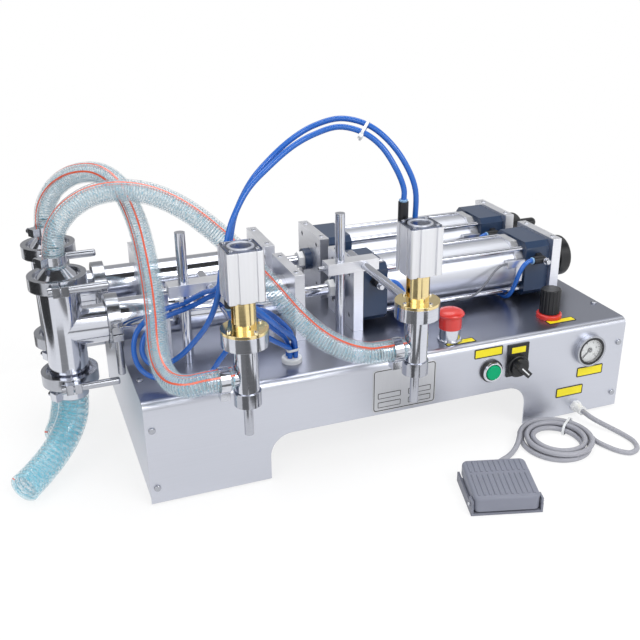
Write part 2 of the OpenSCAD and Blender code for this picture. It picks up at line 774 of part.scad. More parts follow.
// Places that repeat
module each_unit() { for (y = unit_ys) translate([0, y, axis_z]) children(); }
module at_unit(i) { translate([0, unit_ys[i], axis_z]) children(); }
module each_nozzle() { for (x = nozzle_xs) translate([x, nozzle_y, 0]) children(); }
module each_stand() { for (x = nozzle_xs) translate([x - arm_offset, stand_y, arm_z]) children(); }
module each_tie() {
    for (s = [-1, 1]) for (t = [-1, 1]) translate([0, s * tie_pitch / 2, t * tie_pitch / 2]) children();
}
module each_face_screw() {
    for (s = [-1, 1]) for (t = [0, 1]) for (z = [screw_low_z, screw_high_z])
        translate([s * (right - screw_in), 0, z]) rotate(180 * t) translate([0, front, 0])
            rotate([90, 0, 0]) children();
}
module each_top_screw() {
    for (s = [-1, 1]) for (t = [-1, 1])
        translate([s * (right - screw_in), t * (back - screw_top_in), cab_h]) children();
}
module each_clamp_joint() {
    translate([tee_x, 0, tee_reach]) children();
    translate([tee_x, 0, -tee_reach]) children();
    translate([joint_x, 0, 0]) rotate([0, 90, 0]) children();
}
module each_low_port() {
    for (x = low_port_xs) for (y = unit_ys) translate([x, y + low_setback, cab_h]) children();
}
module on_front(x, z) { translate([x, front, z]) rotate([90, 0, 0]) children(); }
module at_pedal() { translate([pedal_x, pedal_y, 0]) rotate(pedal_turn) children(); }

// Cabinet
module screw_hole() {
    translate([0, 0, -screw_d * 2]) cylinder(h = screw_d * 4, r = screw_d / 2 + slip_fit);
}
module front_hole(x, z, d) {
    on_front(x, z) translate([0, 0, -sheet - over]) cylinder(h = sheet + 2 * over, r = d / 2);
}
module top_hole(x, y, d) { translate([x, y, under_top - over]) cylinder(h = sheet + 2 * over, r = d / 2); }

module cabinet_cover() {
    color("gainsboro") difference() {
        extrude_x(left, cab_l) difference() {
            translate([0, skirt_gap]) round_topped(cab_d, cab_h - skirt_gap, fold_r);
            round_topped(cab_d - 2 * sheet, under_top, fold_r - sheet);
        }
        translate([cut_x, 0, 0]) extrude_y(front - over, cab_d + 2 * over) round_topped(cut_l, cut_h, cut_r);
        each_face_screw() screw_hole();
        each_top_screw() screw_hole();
        each_low_port() cylinder(h = 4 * sheet, r = fit_thread_d / 2 + slip_fit, center = true);
        top_hole(estop_x, front + estop_in, panel_hole_d);
        top_hole(regulator_x, front + regulator_in, panel_hole_d);
        top_hole(grommet_x, front + grommet_in, grommet_d - 4);
        front_hole(button_x, button_z, panel_hole_d);
        front_hole(selector_x, selector_z, panel_hole_d);
        front_hole(gauge_x, gauge_z, gauge_d / 2);
        front_hole(gland_x, gland_z, gland_d - 4);
        translate([right - inlet_in, 0, inlet_z]) rod_y(back - 2 * sheet, 4 * sheet, inlet_d / 2 - 2);
    }
}

module end_panel() {
    w = cab_d - 2 * sheet - 2 * slip_fit;
    h = under_top - slip_fit - panel_z;
    r = fold_r - sheet - slip_fit;
    difference() {
        extrude_x(left, flange_w) translate([0, panel_z]) round_topped(w, h, r);
        extrude_x(left + sheet, flange_w)
            translate([0, panel_z + sheet]) round_topped(w - 2 * sheet, h - 2 * sheet, r - sheet);
        each_face_screw() screw_hole();
        each_top_screw() screw_hole();
    }
}
module end_panels() {
    color("lightgray") {
        end_panel();
        mirror([1, 0, 0]) end_panel();
    }
}

module cabinet_feet() {
    color("dimgray") for (s = [-1, 1]) for (t = [-1, 1])
        translate([s * (right - flange_w / 2), t * (back - foot_in), 0])
            cylinder(h = panel_z, r1 = foot_d / 2 - 1, r2 = foot_d / 2);
}

module pan_screw() {
    domed_disc(screw_head_d / 2, 2.4, 1.4);
    translate([0, 0, -screw_d * 1.5]) cylinder(h = screw_d * 1.5, r = screw_d / 2);
}
module cabinet_screws() {
    color("silver") {
        each_face_screw() pan_screw();
        each_top_screw() pan_screw();
    }
}

module valve_manifold() {
    color("slategray") translate([manifold_x, 0, under_top - manifold_h]) {
        block([manifold_l, manifold_d, manifold_h]);
        for (i = [0 : valve_count - 1])
            translate([(i - (valve_count - 1) / 2) * manifold_l / valve_count, 0, -valve_w])
                block([valve_w, manifold_d - valve_w / 2, valve_w]);
    }
}

// Pump units
module upright(x) { translate([x, -plate_w / 2, cab_h - axis_z]) cube([plate_t, plate_w, plate_h]); }
module plate_bore(x, r) { rod_x(x - over, plate_t + 2 * over, r); }

module saddle_plates() {
    color("lightgray") each_unit() difference() {
        upright(saddle_x);
        plate_bore(saddle_x, product_od / 2 + slip_fit);
    }
}
module rod_plates() {
    color("lightgray") each_unit() difference() {
        upright(rod_plate_x);
        plate_bore(rod_plate_x, bush_d / 2 + slip_fit);
    }
}
module nose_plates() {
    color("lightgray") each_unit() difference() {
        upright(nose_plate_x);
        plate_bore(nose_plate_x, nose_d / 2 + slip_fit);
        each_tie() plate_bore(nose_plate_x, plate_bolt_d / 2);
    }
}
module wheel_plates() {
    color("lightgray") each_unit() difference() {
        upright(wheel_plate_x);
        plate_bore(wheel_plate_x, spindle_d / 2 + run_fit);
        each_tie() plate_bore(wheel_plate_x, plate_bolt_d / 2);
    }
}

module product_cylinders() {
    color("silver") each_unit() difference() {
        union() {
            rod_x(product_x, rod_plate_x - product_x, product_od / 2);
            rod_x(product_x, ferrule_t, ferrule_d / 2);
        }
        rod_x(product_x - over, rod_plate_x - product_x + 2 * over, product_id / 2);
    }
}

module end_cap(x) { extrude_x(x, cap_l) chamfered_square(cap_w, cap_chamfer); }
module cap_port(x) {
    translate([x, 0, cap_port_up])
        rod_y(-cap_w / 2 - over, fit_thread_l + 2 * over, fit_thread_d / 2 + slip_fit);
}
module air_caps() {
    color("slategray") each_unit() {
        difference() {
            union() {
                end_cap(front_cap_x);
                rod_x(nose_plate_x - nose_out, nose_out + plate_t + over, nose_d / 2);
            }
            rod_x(nose_plate_x - nose_out - over, nose_out + plate_t + cap_l + 2 * over, rod_d / 2 + run_fit);
            cap_port(cap_port_xs[0]);
        }
        difference() {
            end_cap(rear_cap_x);
            rod_x(rear_cap_x - over, cap_l + 2 * over, spindle_d / 2 + run_fit);
            cap_port(cap_port_xs[1]);
        }
    }
}

module air_barrels() {
    color("whitesmoke") each_unit() tube_x(barrel_x, rear_cap_x - barrel_x, barrel_od / 2, barrel_id / 2);
}

module tie_rods() {
    color("silver") each_unit() each_tie() rod_x(barrel_x, rear_cap_x - barrel_x, tie_d / 2);
}

module sensor_bands() {
    color("white") each_unit() difference() {
        union() {
            extrude_x(band_x, band_t) chamfered_square(band_w, band_w * (1 - 1 / sqrt(2)));
            translate([band_x - sensor_size.x + band_t, -band_w / 2 - sensor_size.y / 2, sensor_up])
                cube(sensor_size);
        }
        rod_x(band_x - sensor_size.x - over, sensor_size.x + band_t + 2 * over, barrel_od / 2 + slip_fit);
    }
}

module piston_set() {
    rod_x(product_piston_x, air_piston_x + air_piston_l - product_piston_x, rod_d / 2);
    rod_x(product_piston_x, product_piston_l, product_id / 2 - run_fit);
    rod_x(air_piston_x, air_piston_l, barrel_id / 2 - run_fit);
}
module piston_front() { color("silver") at_unit(0) piston_set(); }
module piston_rear() { color("silver") at_unit(1) piston_set(); }

module handwheel(turn) {
    rod_x(rear_cap_x - spindle_in, hub_x - rear_cap_x + spindle_in + over, spindle_d / 2);
    rod_x(hub_x, hub_l + over, hub_d / 2);
    translate([wheel_x, 0, 0]) rotate([0, 90, 0]) domed_disc(wheel_d / 2, wheel_t, 5);
    rotate([turn, 0, 0]) translate([wheel_x + wheel_t, 0, grip_r]) rotate([0, 90, 0])
        domed_disc(grip_d / 2, grip_l, grip_d / 2 - 1);
}
module handwheel_front() { color("black") at_unit(0) handwheel(grip_turns[0]); }
module handwheel_rear() { color("black") at_unit(1) handwheel(grip_turns[1]); }

module stroke_stop() { tube_x(stop_x, stop_l, stop_d / 2, spindle_d / 2 + run_fit); }
module stroke_stop_front() { color("goldenrod") at_unit(0) stroke_stop(); }
module stroke_stop_rear() { color("goldenrod") at_unit(1) stroke_stop(); }

// Tee valves and their clamps
module cage_pin(z) {
    intersection() {
        translate([0, 0, z]) rod_y(-tee_od / 2, tee_od, cage_pin_d / 2);
        translate([0, 0, -tee_reach]) cylinder(h = 2 * tee_reach, r = (tee_od + tee_id) / 4);
    }
}
module tee_bodies() {
    half = tee_reach - gasket_t / 2;
    color("silver") each_unit() translate([tee_x, 0, 0]) {
        difference() {
            union() {
                translate([0, 0, -half]) cylinder(h = 2 * half, r = tee_od / 2);
                rod_x(0, branch_l, tee_od / 2);
                translate([0, 0, half - ferrule_t]) cylinder(h = ferrule_t, r = ferrule_d / 2);
                translate([0, 0, -half]) cylinder(h = ferrule_t, r = ferrule_d / 2);
                rod_x(branch_l - ferrule_t, ferrule_t, ferrule_d / 2);
            }
            translate([0, 0, -half - over]) cylinder(h = 2 * half + 2 * over, r = tee_id / 2);
            rod_x(0, branch_l + over, tee_id / 2);
        }
        translate([0, 0, seat_up - seat_t]) difference() {
            cylinder(h = seat_t, r = (tee_od + tee_id) / 4);
            translate([0, 0, -over]) cylinder(h = seat_t + 2 * over, r = seat_d / 2);
        }
        cage_pin(suction_pin_z);
        cage_pin(discharge_pin_z);
    }
}

module clamp_hollow() {
    cylinder(h = clamp_w + 2 * over, r = clamp_lip_r, center = true);
    cylinder(h = clamp_groove, r = ferrule_d / 2 + slip_fit, center = true);
}
module clamp_half(s) {
    reach = clamp_od / 2 + ear_out;
    knuckle_h = ear_w / 2 - rest_gap;
    difference() {
        union() {
            intersection() {
                cylinder(h = clamp_w, r = clamp_od / 2, center = true);
                translate([s * (clamp_split / 2 + clamp_od / 2), 0, 0])
                    cube([clamp_od, clamp_od, clamp_w], center = true);
            }
            translate([s * (clamp_split / 2 + ear_t / 2), -reach + reach / 4, 0])
                cube([ear_t, reach / 2, ear_w], center = true);
            translate([0, hinge_y, s * (ear_w / 4 + rest_gap / 2)])
                cylinder(h = knuckle_h, r = knuckle_d / 2, center = true);
            translate([s * (knuckle_d / 4 + clamp_split / 4), hinge_y - knuckle_d / 2,
                s * (ear_w / 4 + rest_gap / 2)])
                cube([knuckle_d / 2 - clamp_split / 2, knuckle_d, knuckle_h], center = true);
        }
        clamp_hollow();
        translate([0, bolt_y, 0]) rod_x(-clamp_od, 2 * clamp_od, bolt_d / 2 + slip_fit);
        translate([0, hinge_y, 0]) cylinder(h = 2 * ear_w, r = hinge_pin_d / 2 + slip_fit, center = true);
    }
}
module clamp_halves() {
    color("silver") each_unit() each_clamp_joint() for (s = [-1, 1]) clamp_half(s);
}

module clamp_bolt_set() {
    ear_end = clamp_split / 2 + ear_t;
    nut_hold = 12;
    translate([0, bolt_y, 0]) {
        rod_x(-ear_end - bolt_head_l, bolt_head_l, nut_d / 2 + 1);
        rod_x(-ear_end - bolt_head_l, bolt_head_l + 2 * ear_end + nut_hold, bolt_d / 2);
        difference() {
            translate([ear_end, 0, 0]) rotate([0, 90, 0]) domed_disc(nut_d / 2, nut_l, nut_d / 4);
            rod_x(ear_end - over, nut_hold + 2 * over, bolt_d / 2 + slip_fit);
        }
    }
    translate([0, hinge_y, 0]) cylinder(h = ear_w + 2, r = hinge_pin_d / 2, center = true);
}
module clamp_bolts() { color("gray") each_unit() each_clamp_joint() clamp_bolt_set(); }

module gasket() {
    difference() {
        cylinder(h = gasket_t, r = ferrule_d / 2, center = true);
        cylinder(h = gasket_t + 2 * over, r = tee_id / 2, center = true);
    }
}
module ptfe_seals() {
    color("white") each_unit() {
        each_clamp_joint() gasket();
        tube_x(rod_plate_x, plate_t + bush_out, bush_d / 2, rod_d / 2 + run_fit);
        difference() {
            translate([nose_plate_x - nose_out - wiper_l, 0, 0]) rotate([0, 90, 0])
                cylinder(h = wiper_l, r = wiper_d / 2, $fn = hex);
            rod_x(nose_plate_x - nose_out - wiper_l - over, wiper_l + 2 * over, rod_d / 2 + run_fit);
        }
    }
}

module barb_ridges(r, l) {
    for (i = [1 : 3]) translate([0, 0, l * i / 4]) cylinder(h = l / 8, r1 = r, r2 = r - 0.8);
}
module outlet_barb() {
    difference() {
        union() {
            cylinder(h = ferrule_t, r = ferrule_d / 2);
            translate([0, 0, ferrule_t]) cylinder(h = outlet_cone_l, r1 = tee_od / 2, r2 = hose_od / 2);
            translate([0, 0, ferrule_t + outlet_cone_l]) {
                cylinder(h = outlet_barb_l, r = hose_barb_r - 0.8);
                barb_ridges(hose_barb_r, outlet_barb_l);
            }
        }
        translate([0, 0, -over])
            cylinder(h = ferrule_t + outlet_cone_l + outlet_barb_l + 2 * over, r = hose_barb_r - barb_wall);
    }
}
module inlet_barb() {
    mirror([0, 0, 1]) difference() {
        union() {
            cylinder(h = ferrule_t, r = ferrule_d / 2);
            translate([0, 0, ferrule_t]) cylinder(h = inlet_cone_l, r1 = tee_od / 2, r2 = suction_od / 2);
            translate([0, 0, ferrule_t + inlet_cone_l]) {
                cylinder(h = inlet_barb_l, r = suction_barb_r - 0.8);
                barb_ridges(suction_barb_r, inlet_barb_l);
            }
        }
        translate([0, 0, -over]) cylinder(h = ferrule_t + over, r = seat_d / 2);
        cylinder(h = ferrule_t + inlet_cone_l + inlet_barb_l + over, r = suction_barb_r - barb_wall - 1);
    }
}
module hose_barbs() {
    color("silver") each_unit() translate([tee_x, 0, 0]) {
        translate([0, 0, outlet_z]) outlet_barb();
        translate([0, 0, inlet_top]) inlet_barb();
    }
}

module check_ball(z) { translate([tee_x, 0, z]) sphere(ball_r); }
module suction_ball_front() { color("silver") at_unit(0) check_ball(suction_ball_z); }
module suction_ball_rear() { color("silver") at_unit(1) check_ball(suction_ball_z); }
module discharge_ball_front() { color("silver") at_unit(0) check_ball(discharge_ball_z); }
module discharge_ball_rear() { color("silver") at_unit(1) check_ball(discharge_ball_z); }

// Stands
module stand_rods() {
    color("silver") for (x = nozzle_xs) translate([x - arm_offset, stand_y, cab_h])
        cylinder(h = stand_l, r = stand_d / 2);
}
module clamp_bars() {
    color("lightgray") each_stand() difference() {
        translate([-bar_left, -bar_d / 2, -bar_h / 2]) cube([bar_l, bar_d, bar_h]);
        cylinder(h = bar_h + 2 * over, r = stand_d / 2 + slip_fit, center = true);
        translate([arm_offset, 0, 0]) rod_y(-bar_d, 2 * bar_d, arm_d / 2 + slip_fit);
        rod_x(-bar_left - over, bar_left, clamp_screw_d / 2 + slip_fit);
        rod_x(arm_offset, bar_l - bar_left - arm_offset + over, clamp_screw_d / 2 + slip_fit);
    }
}
module arm_rods() {
    color("silver") for (x = nozzle_xs) translate([x, 0, arm_z])
        rod_y(arm_seat_y, stand_y + arm_tail - arm_seat_y, arm_d / 2);
}
module grub_screw(l) {
    difference() {
        rod_x(0, l, clamp_screw_d / 2);
        translate([l - clamp_screw_d / 2, 0, 0]) rotate([0, 90, 0])
            cylinder(h = clamp_screw_d, r = clamp_screw_d * 0.3, $fn = hex);
    }
}
module clamp_screws() {
    rod_side = stand_d / 2 + slip_fit;
    arm_side = arm_offset + arm_d / 2 + slip_fit;
    color("dimgray") each_stand() {
        mirror([1, 0, 0]) translate([rod_side, 0, 0]) grub_screw(bar_left - rod_side + clamp_screw_out);
        translate([arm_side, 0, 0]) grub_screw(bar_l - bar_left - arm_side + clamp_screw_out);
    }
}

// Nozzles
module nozzle_bodies() {
    color("silver") each_nozzle() difference() {
        union() {
            translate([0, 0, body_z]) cylinder(h = body_l, r = body_d / 2);
            translate([0, 0, flange_z]) cylinder(h = flange_t, r = flange_d / 2);
            translate([0, 0, port_z]) rod_x(-body_d / 2 - port_gap - port_barb_l,
                port_barb_l + port_gap + body_d / 4, hose_barb_r);
        }
        translate([0, 0, body_z - over]) cylinder(h = flange_top - pack_l - body_z + over, r = body_bore / 2);
        translate([0, 0, body_z]) cylinder(h = flange_top - body_z + over, r = stem_d / 2 + run_fit);
        translate([0, 0, arm_z]) rod_y(arm_seat, arm_in + over, arm_d / 2 + slip_fit);
        translate([0, 0, port_z])
            rod_x(-body_d / 2 - port_gap - port_barb_l - over,
                port_barb_l + port_gap + body_d / 2 + over, hose_barb_r - barb_wall);
    }
}

module nozzle_tips() {
    color("silver") each_nozzle() difference() {
        union() {
            translate([0, 0, nozzle_cap_z]) cylinder(h = nozzle_cap_l, r = nozzle_cap_d / 2);
            translate([0, 0, tip_z]) cylinder(h = tip_l + over, r = tip_d / 2);
        }
        translate([0, 0, nozzle_cap_z + nozzle_floor]) cylinder(h = nozzle_cap_l, r = body_bore / 2);
        translate([0, 0, tip_z - over]) cylinder(h = tip_l + nozzle_cap_l, r = tip_bore / 2);
    }
}

module nozzle_yokes() {
    color("goldenrod") each_nozzle() difference() {
        union() {
            translate([0, 0, flange_top]) cylinder(h = disc_t, r = flange_d / 2);
            translate([0, 0, flange_top]) cylinder(h = disc_t + column_l, r = column_d / 2);
        }
        translate([0, 0, flange_top - over]) cylinder(h = disc_t + column_l + 2 * over, r = column_bore / 2);
        translate([-column_d, -window_w / 2, window_z]) cube([2 * column_d, window_w, window_h]);
    }
}

module act_port(x, z) {
    translate([x, 0, z]) rod_y(act_back - fit_thread_l, fit_thread_l + over, fit_thread_d / 2 + slip_fit);
}
module actuator(i) {
    difference() {
        translate([0, 0, act_z]) linear_extrude(act_h) chamfered_square(act_w, 1.5);
        translate([0, 0, act_z - over]) cylinder(h = act_floor + 2 * over, r = stem_d / 2 + run_fit);
        translate([0, 0, act_z + act_floor]) cylinder(h = act_bore_l, r = act_bore / 2);
        for (turn = [0, 90, 270]) rotate(turn) for (s = [-1, 1])
            translate([s * act_w / 4 - groove_w / 2, -act_w / 2 - over, act_z - over])
                cube([groove_w, groove_t + over, act_h + 2 * over]);
        act_port(-upper_sides[i] * port_offset, act_port_zs[0]);
        act_port(upper_sides[i] * port_offset, act_port_zs[1]);
    }
}
module actuators() {
    color("whitesmoke") for (i = [0, 1]) translate([nozzle_xs[i], nozzle_y, 0]) actuator(i);
}

module nozzle_stem(i) {
    shaft_z = plug_z + plug_l / 2;
    translate([nozzle_xs[i], nozzle_y, 0]) {
        translate([0, 0, plug_z]) cylinder(h = plug_l, r = plug_d / 2);
        translate([0, 0, shaft_z]) cylinder(h = stem_piston_z + stem_piston_l - shaft_z, r = stem_d / 2);
        translate([0, 0, stem_piston_z]) cylinder(h = stem_piston_l, r = act_bore / 2 - run_fit);
    }
}
module nozzle_stem_left() { color("silver") nozzle_stem(0); }
module nozzle_stem_right() { color("silver") nozzle_stem(1); }

// Fittings for the air tubes
module fitting_thread() {
    translate([0, 0, -fit_thread_l]) cylinder(h = fit_thread_l + over, r = fit_thread_d / 2);
}
module elbow(rise, reach) {
    fitting_thread();
    cylinder(h = fit_hex_h, r = fit_hex_d / 2, $fn = hex);
    cylinder(h = rise, r = fit_d / 2);
    translate([0, 0, rise]) sphere(fit_d / 2);
    translate([0, 0, rise]) rod_x(0, reach, fit_d / 2);
}
module behind_nozzle(i, x, z) {
    translate([nozzle_xs[i] + x, nozzle_y + act_back, z]) rotate([-90, 0, 0]) children();
}
module push_in_fittings() {
    color("black") {
        for (i = [0, 1]) {
            behind_nozzle(i, -upper_sides[i] * port_offset, act_port_zs[0]) rotate(outlet_turns[i])
                elbow(elbow_rise, lower_reaches[i]);
            behind_nozzle(i, upper_sides[i] * port_offset, act_port_zs[1]) rotate(outlet_turns[i])
                elbow(elbow_rise, upper_reaches[i]);
        }
        each_unit() for (i = [0, 1])
            translate([cap_port_xs[i], -cap_w / 2, cap_port_up]) rotate([90, 0, 0]) rotate(180 * i)
                elbow(cap_rise, cap_reach);
        each_low_port() rotate(-90) elbow(low_rise, low_reach);
        translate([right - inlet_in, 0, inlet_z]) difference() {
            union() {
                rod_y(back, inlet_l, inlet_d / 2);
                rod_y(back - inlet_l, inlet_l + over, inlet_d / 2 - 2 - slip_fit);
            }
            rod_y(back, inlet_l + over, inlet_bore / 2);
        }
    }
}

// Clips that hold the hoses on their barbs
module hose_clip(r) {
    difference() {
        union() {
            cylinder(h = clip_w, r = r + slip_fit + clip_t, center = true);
            translate([-clip_house_w / 2, -r - clip_house_h, -clip_w / 2])
                cube([clip_house_w, clip_house_h, clip_w]);
            translate([-clip_house_w, -r - clip_house_h / 2, 0]) rod_x(0, clip_house_w, clip_screw_d / 2);
        }
        cylinder(h = clip_w + 2 * over, r = r + slip_fit, center = true);
    }
}
module hose_clips() {
    color("silver") {
        each_unit() translate([tee_x, 0, 0]) {
            translate([0, 0, outlet_shoulder + clip_w]) rotate(-60) hose_clip(hose_od / 2);
            translate([0, 0, inlet_shoulder - clip_w]) rotate(-60) hose_clip(suction_od / 2);
        }
        each_nozzle() translate([-body_d / 2 - port_gap - clip_w, 0, port_z])
            rotate([90, 0, -90]) hose_clip(hose_od / 2);
    }
}

// Controls
module switch_block(d) {
    translate([0, 0, -sheet - switch_l]) block([d, d, switch_l]);
    translate([0, 0, -sheet - over]) cylinder(h = sheet + 2 * over, r = panel_hole_d / 2 - slip_fit);
}

module button_bezel() {
    color("silver") on_front(button_x, button_z) difference() {
        union() {
            domed_disc(bezel_d / 2, bezel_t, 1.5);
            switch_block(bezel_d);
        }
        translate([0, 0, -switch_l / 2]) cylinder(h = switch_l, r = button_d / 2 + run_fit);
    }
}
module button_cap() {
    depth = switch_l / 2 - 4;
    color("limegreen") on_front(button_x, button_z) translate([0, 0, -depth])
        domed_disc(button_d / 2, depth + bezel_t + button_out, 1.5);
}

module selector_base() {
    color("black") on_front(selector_x, selector_z) difference() {
        union() {
            translate([-selector_w / 2, -selector_low, 0])
                cube([selector_w, selector_low + selector_high, selector_t]);
            translate([0, 0, selector_t]) domed_disc(bezel_d / 2, bezel_t, 1.5);
            switch_block(bezel_d);
        }
        translate([0, 0, -switch_l / 2]) cylinder(h = switch_l, r = button_d / 4 + run_fit);
    }
}
module selector_lever() {
    face = selector_t + bezel_t + rest_gap;
    depth = switch_l / 2 - 2;
    color("black") on_front(selector_x, selector_z) {
        translate([0, 0, -depth]) cylinder(h = depth + face + over, r = button_d / 4);
        translate([0, 0, face]) domed_disc(bezel_d / 2 - 3, bezel_t, 1);
        rotate(-45) translate([-lever_l / 2, -lever_w / 2, face + bezel_t - over])
            cube([lever_l, lever_w, lever_h + over]);
    }
}

module gauge_case() {
    color("black") on_front(gauge_x, gauge_z) {
        difference() {
            union() {
                cylinder(h = gauge_out, r = gauge_d / 2);
                translate([0, 0, -sheet - switch_l])
                    cylinder(h = sheet + switch_l + over, r = gauge_d / 4 - slip_fit);
            }
            translate([0, 0, gauge_out - gauge_cup])
                cylinder(h = gauge_cup + over, r = gauge_d / 2 - gauge_wall);
        }
        translate([0, 0, gauge_out - gauge_cup - over]) cylinder(h = gauge_cup * 0.6 + over, r = pivot_d / 2);
    }
}
module gauge_needle() {
    needle_w = 1.6;
    needle_t = 1;
    color("white") on_front(gauge_x, gauge_z)
    translate([0, 0, gauge_out - gauge_cup + rest_gap]) difference() {
        union() {
            cylinder(h = 2 * needle_t, r = pivot_d * 1.5);
            rotate(225) translate([-needle_l / 4, -needle_w / 2, 0])
                cube([needle_l * 1.25, needle_w, needle_t]);
        }
        translate([0, 0, -over]) cylinder(h = gauge_cup, r = pivot_d / 2 + run_fit);
    }
}

module cord_glands() {
    color("white") {
        on_front(gland_x, gland_z) {
            cylinder(h = gland_l / 3, r = gland_d / 2, $fn = hex);
            cylinder(h = gland_l, r = gland_d / 2 - 2);
            translate([0, 0, -gland_l]) cylinder(h = gland_l + over, r = gland_d / 2 - 2 - slip_fit);
        }
        translate([grommet_x, front + grommet_in, cab_h]) {
            domed_disc(grommet_d / 2, grommet_h, 1.5);
            translate([0, 0, -2 * grommet_h])
                cylinder(h = 2 * grommet_h + over, r = grommet_d / 2 - 2 - slip_fit);
        }
    }
}

module estop_base() {
    bezel_h = 3;
    color("silver") translate([estop_x, front + estop_in, cab_h]) difference() {
        union() {
            domed_disc(collar_d / 2 + 2, bezel_h, 1);
            cylinder(h = collar_h, r = collar_d / 2);
            switch_block(bezel_d);
        }
        translate([0, 0, -switch_l + estop_travel])
            cylinder(h = switch_l + collar_h, r = collar_d / 4 + run_fit);
    }
}
module estop_head() {
    depth = switch_l / 2;
    color("red") translate([estop_x, front + estop_in, cab_h]) {
        translate([0, 0, -depth]) cylinder(h = depth + collar_h + estop_travel + over, r = collar_d / 4);
        translate([0, 0, collar_h + estop_travel + rest_gap]) domed_disc(estop_d / 2, estop_h, 7);
    }
}

module regulator_body() {
    color("firebrick") translate([regulator_x, front + regulator_in, cab_h]) difference() {
        union() {
            domed_disc(ring_d / 2, ring_h, 2);
            switch_block(ring_d);
        }
        translate([0, 0, -switch_l / 2]) cylinder(h = switch_l + ring_h, r = knob_stem_d / 2 + run_fit);
    }
}
module regulator_knob() {
    depth = switch_l / 2 - 2;
    flutes = 16;
    color("black") translate([regulator_x, front + regulator_in, cab_h]) {
        translate([0, 0, -depth]) cylinder(h = depth + ring_h + 2, r = knob_stem_d / 2);
        translate([0, 0, ring_h + rest_gap]) difference() {
            domed_disc(knob_d / 2, knob_h, 2);
            for (i = [0 : flutes - 1]) rotate(i * 360 / flutes) translate([knob_d / 2 + 0.6, 0, -over])
                cylinder(h = knob_h + 2 * over, r = 1.4);
        }
    }
}

// Foot pedal
function treadle_top(y) = treadle_low
    + (treadle_high - treadle_low) * (y - pedal_near) / (treadle_far - pedal_near);

module pedal_base() {
    color("dimgray") at_pedal() difference() {
        union() {
            block([pedal_w, pedal_d, pedal_floor]);
            for (s = [-1, 1]) translate([s * (pedal_w - pedal_wall) / 2, 0, 0]) {
                block([pedal_wall, pedal_d, base_h]);
                translate([0, pin_y, 0]) block([pedal_wall, 3 * pedal_pin_d, pedal_pin_z + ear_h]);
            }
            translate([0, 0, pedal_floor - over]) block([switch_size.x, switch_size.y, switch_size.z + over]);
            translate([cable_port, pedal_far - inlet_size.y / 2, pedal_floor - over])
                block([inlet_size.x, inlet_size.y, inlet_size.z + over]);
        }
        translate([0, pin_y, pedal_pin_z]) rod_x(-pedal_w, 2 * pedal_w, pedal_pin_d / 2 + slip_fit);
    }
}

module pedal_pin() {
    pin_out = 2;
    color("silver") at_pedal() translate([0, pin_y, pedal_pin_z])
        rod_x(-pedal_w / 2 - pin_out, pedal_w + 2 * pin_out, pedal_pin_d / 2);
}

module treadle_side(inset) {
    low = skirt_low - (inset > 0 ? over : 0);
    high = skirt_high - (inset > 0 ? over : 0);
    polygon([
        [pedal_near + inset, low - inset], [pedal_near + inset, treadle_top(pedal_near + inset) - inset],
        [treadle_far - inset, treadle_top(treadle_far - inset) - inset],
        [treadle_far - inset, high - inset]]);
}
module treadle_rib(x, y0, y1) {
    rib_w = 2.4;
    extrude_x(x - rib_w / 2, rib_w) polygon([
        [y0, treadle_top(y0) - over], [y0 + rib_h, treadle_top(y0) + rib_h],
        [y1 - rib_h, treadle_top(y1) + rib_h], [y1, treadle_top(y1) - over]]);
}
module pedal_treadle() {
    rib_pitch = (treadle_w - 8) / (rib_count - 1);
    rib_split = pedal_near + pedal_d * 0.62;
    rib_end = 4;
    color("gray") at_pedal() {
        difference() {
            extrude_x(-treadle_w / 2, treadle_w) treadle_side(0);
            extrude_x(-treadle_w / 2 + pedal_wall, treadle_w - 2 * pedal_wall) treadle_side(pedal_wall);
            translate([0, pin_y, pedal_pin_z]) rod_x(-pedal_w, 2 * pedal_w, pedal_pin_d / 2 + run_fit);
        }
        for (i = [0 : rib_count - 1]) {
            x = (i - (rib_count - 1) / 2) * rib_pitch;
            treadle_rib(x, pedal_near + rib_end, rib_split - rib_end / 2);
            treadle_rib(x, rib_split + rib_end / 2, treadle_far - rib_end);
        }
    }
}

// Hoses, air tubes and the pedal's cable
module product_hoses() {
    color("lightblue", 0.6) {
        hose(front_hose_route, hose_od / 2, hose_id / 2);
        hose(rear_hose_route, hose_od / 2, hose_id / 2);
    }
}
module suction_hoses() {
    color("lightblue", 0.6) {
        hose(front_suction_route, suction_od / 2, suction_id / 2);
        hose(rear_suction_route, suction_od / 2, suction_id / 2);
    }
}
module air_tubes() {
    color("royalblue") {
        for (route = [outer_tube_route, inner_tube_route, upper_port_route, lower_port_route])
            cord(route, tube_d / 2, tube_sides);
        for (i = [0, 1]) translate([0, i * unit_pitch, 0]) {
            cord(left_cap_route, tube_d / 2, tube_sides);
            cord(right_cap_route, tube_d / 2, tube_sides);
        }
    }
}
module pedal_cord() {
    color("gray") {
        cord(gland_route, cable_d / 2, tube_sides);
        cord(pedal_route, cable_d / 2, tube_sides);
    }
}

module pedal_cord_coil() { color("gray") cord(coil_points, cable_d / 2, coil_sides); }

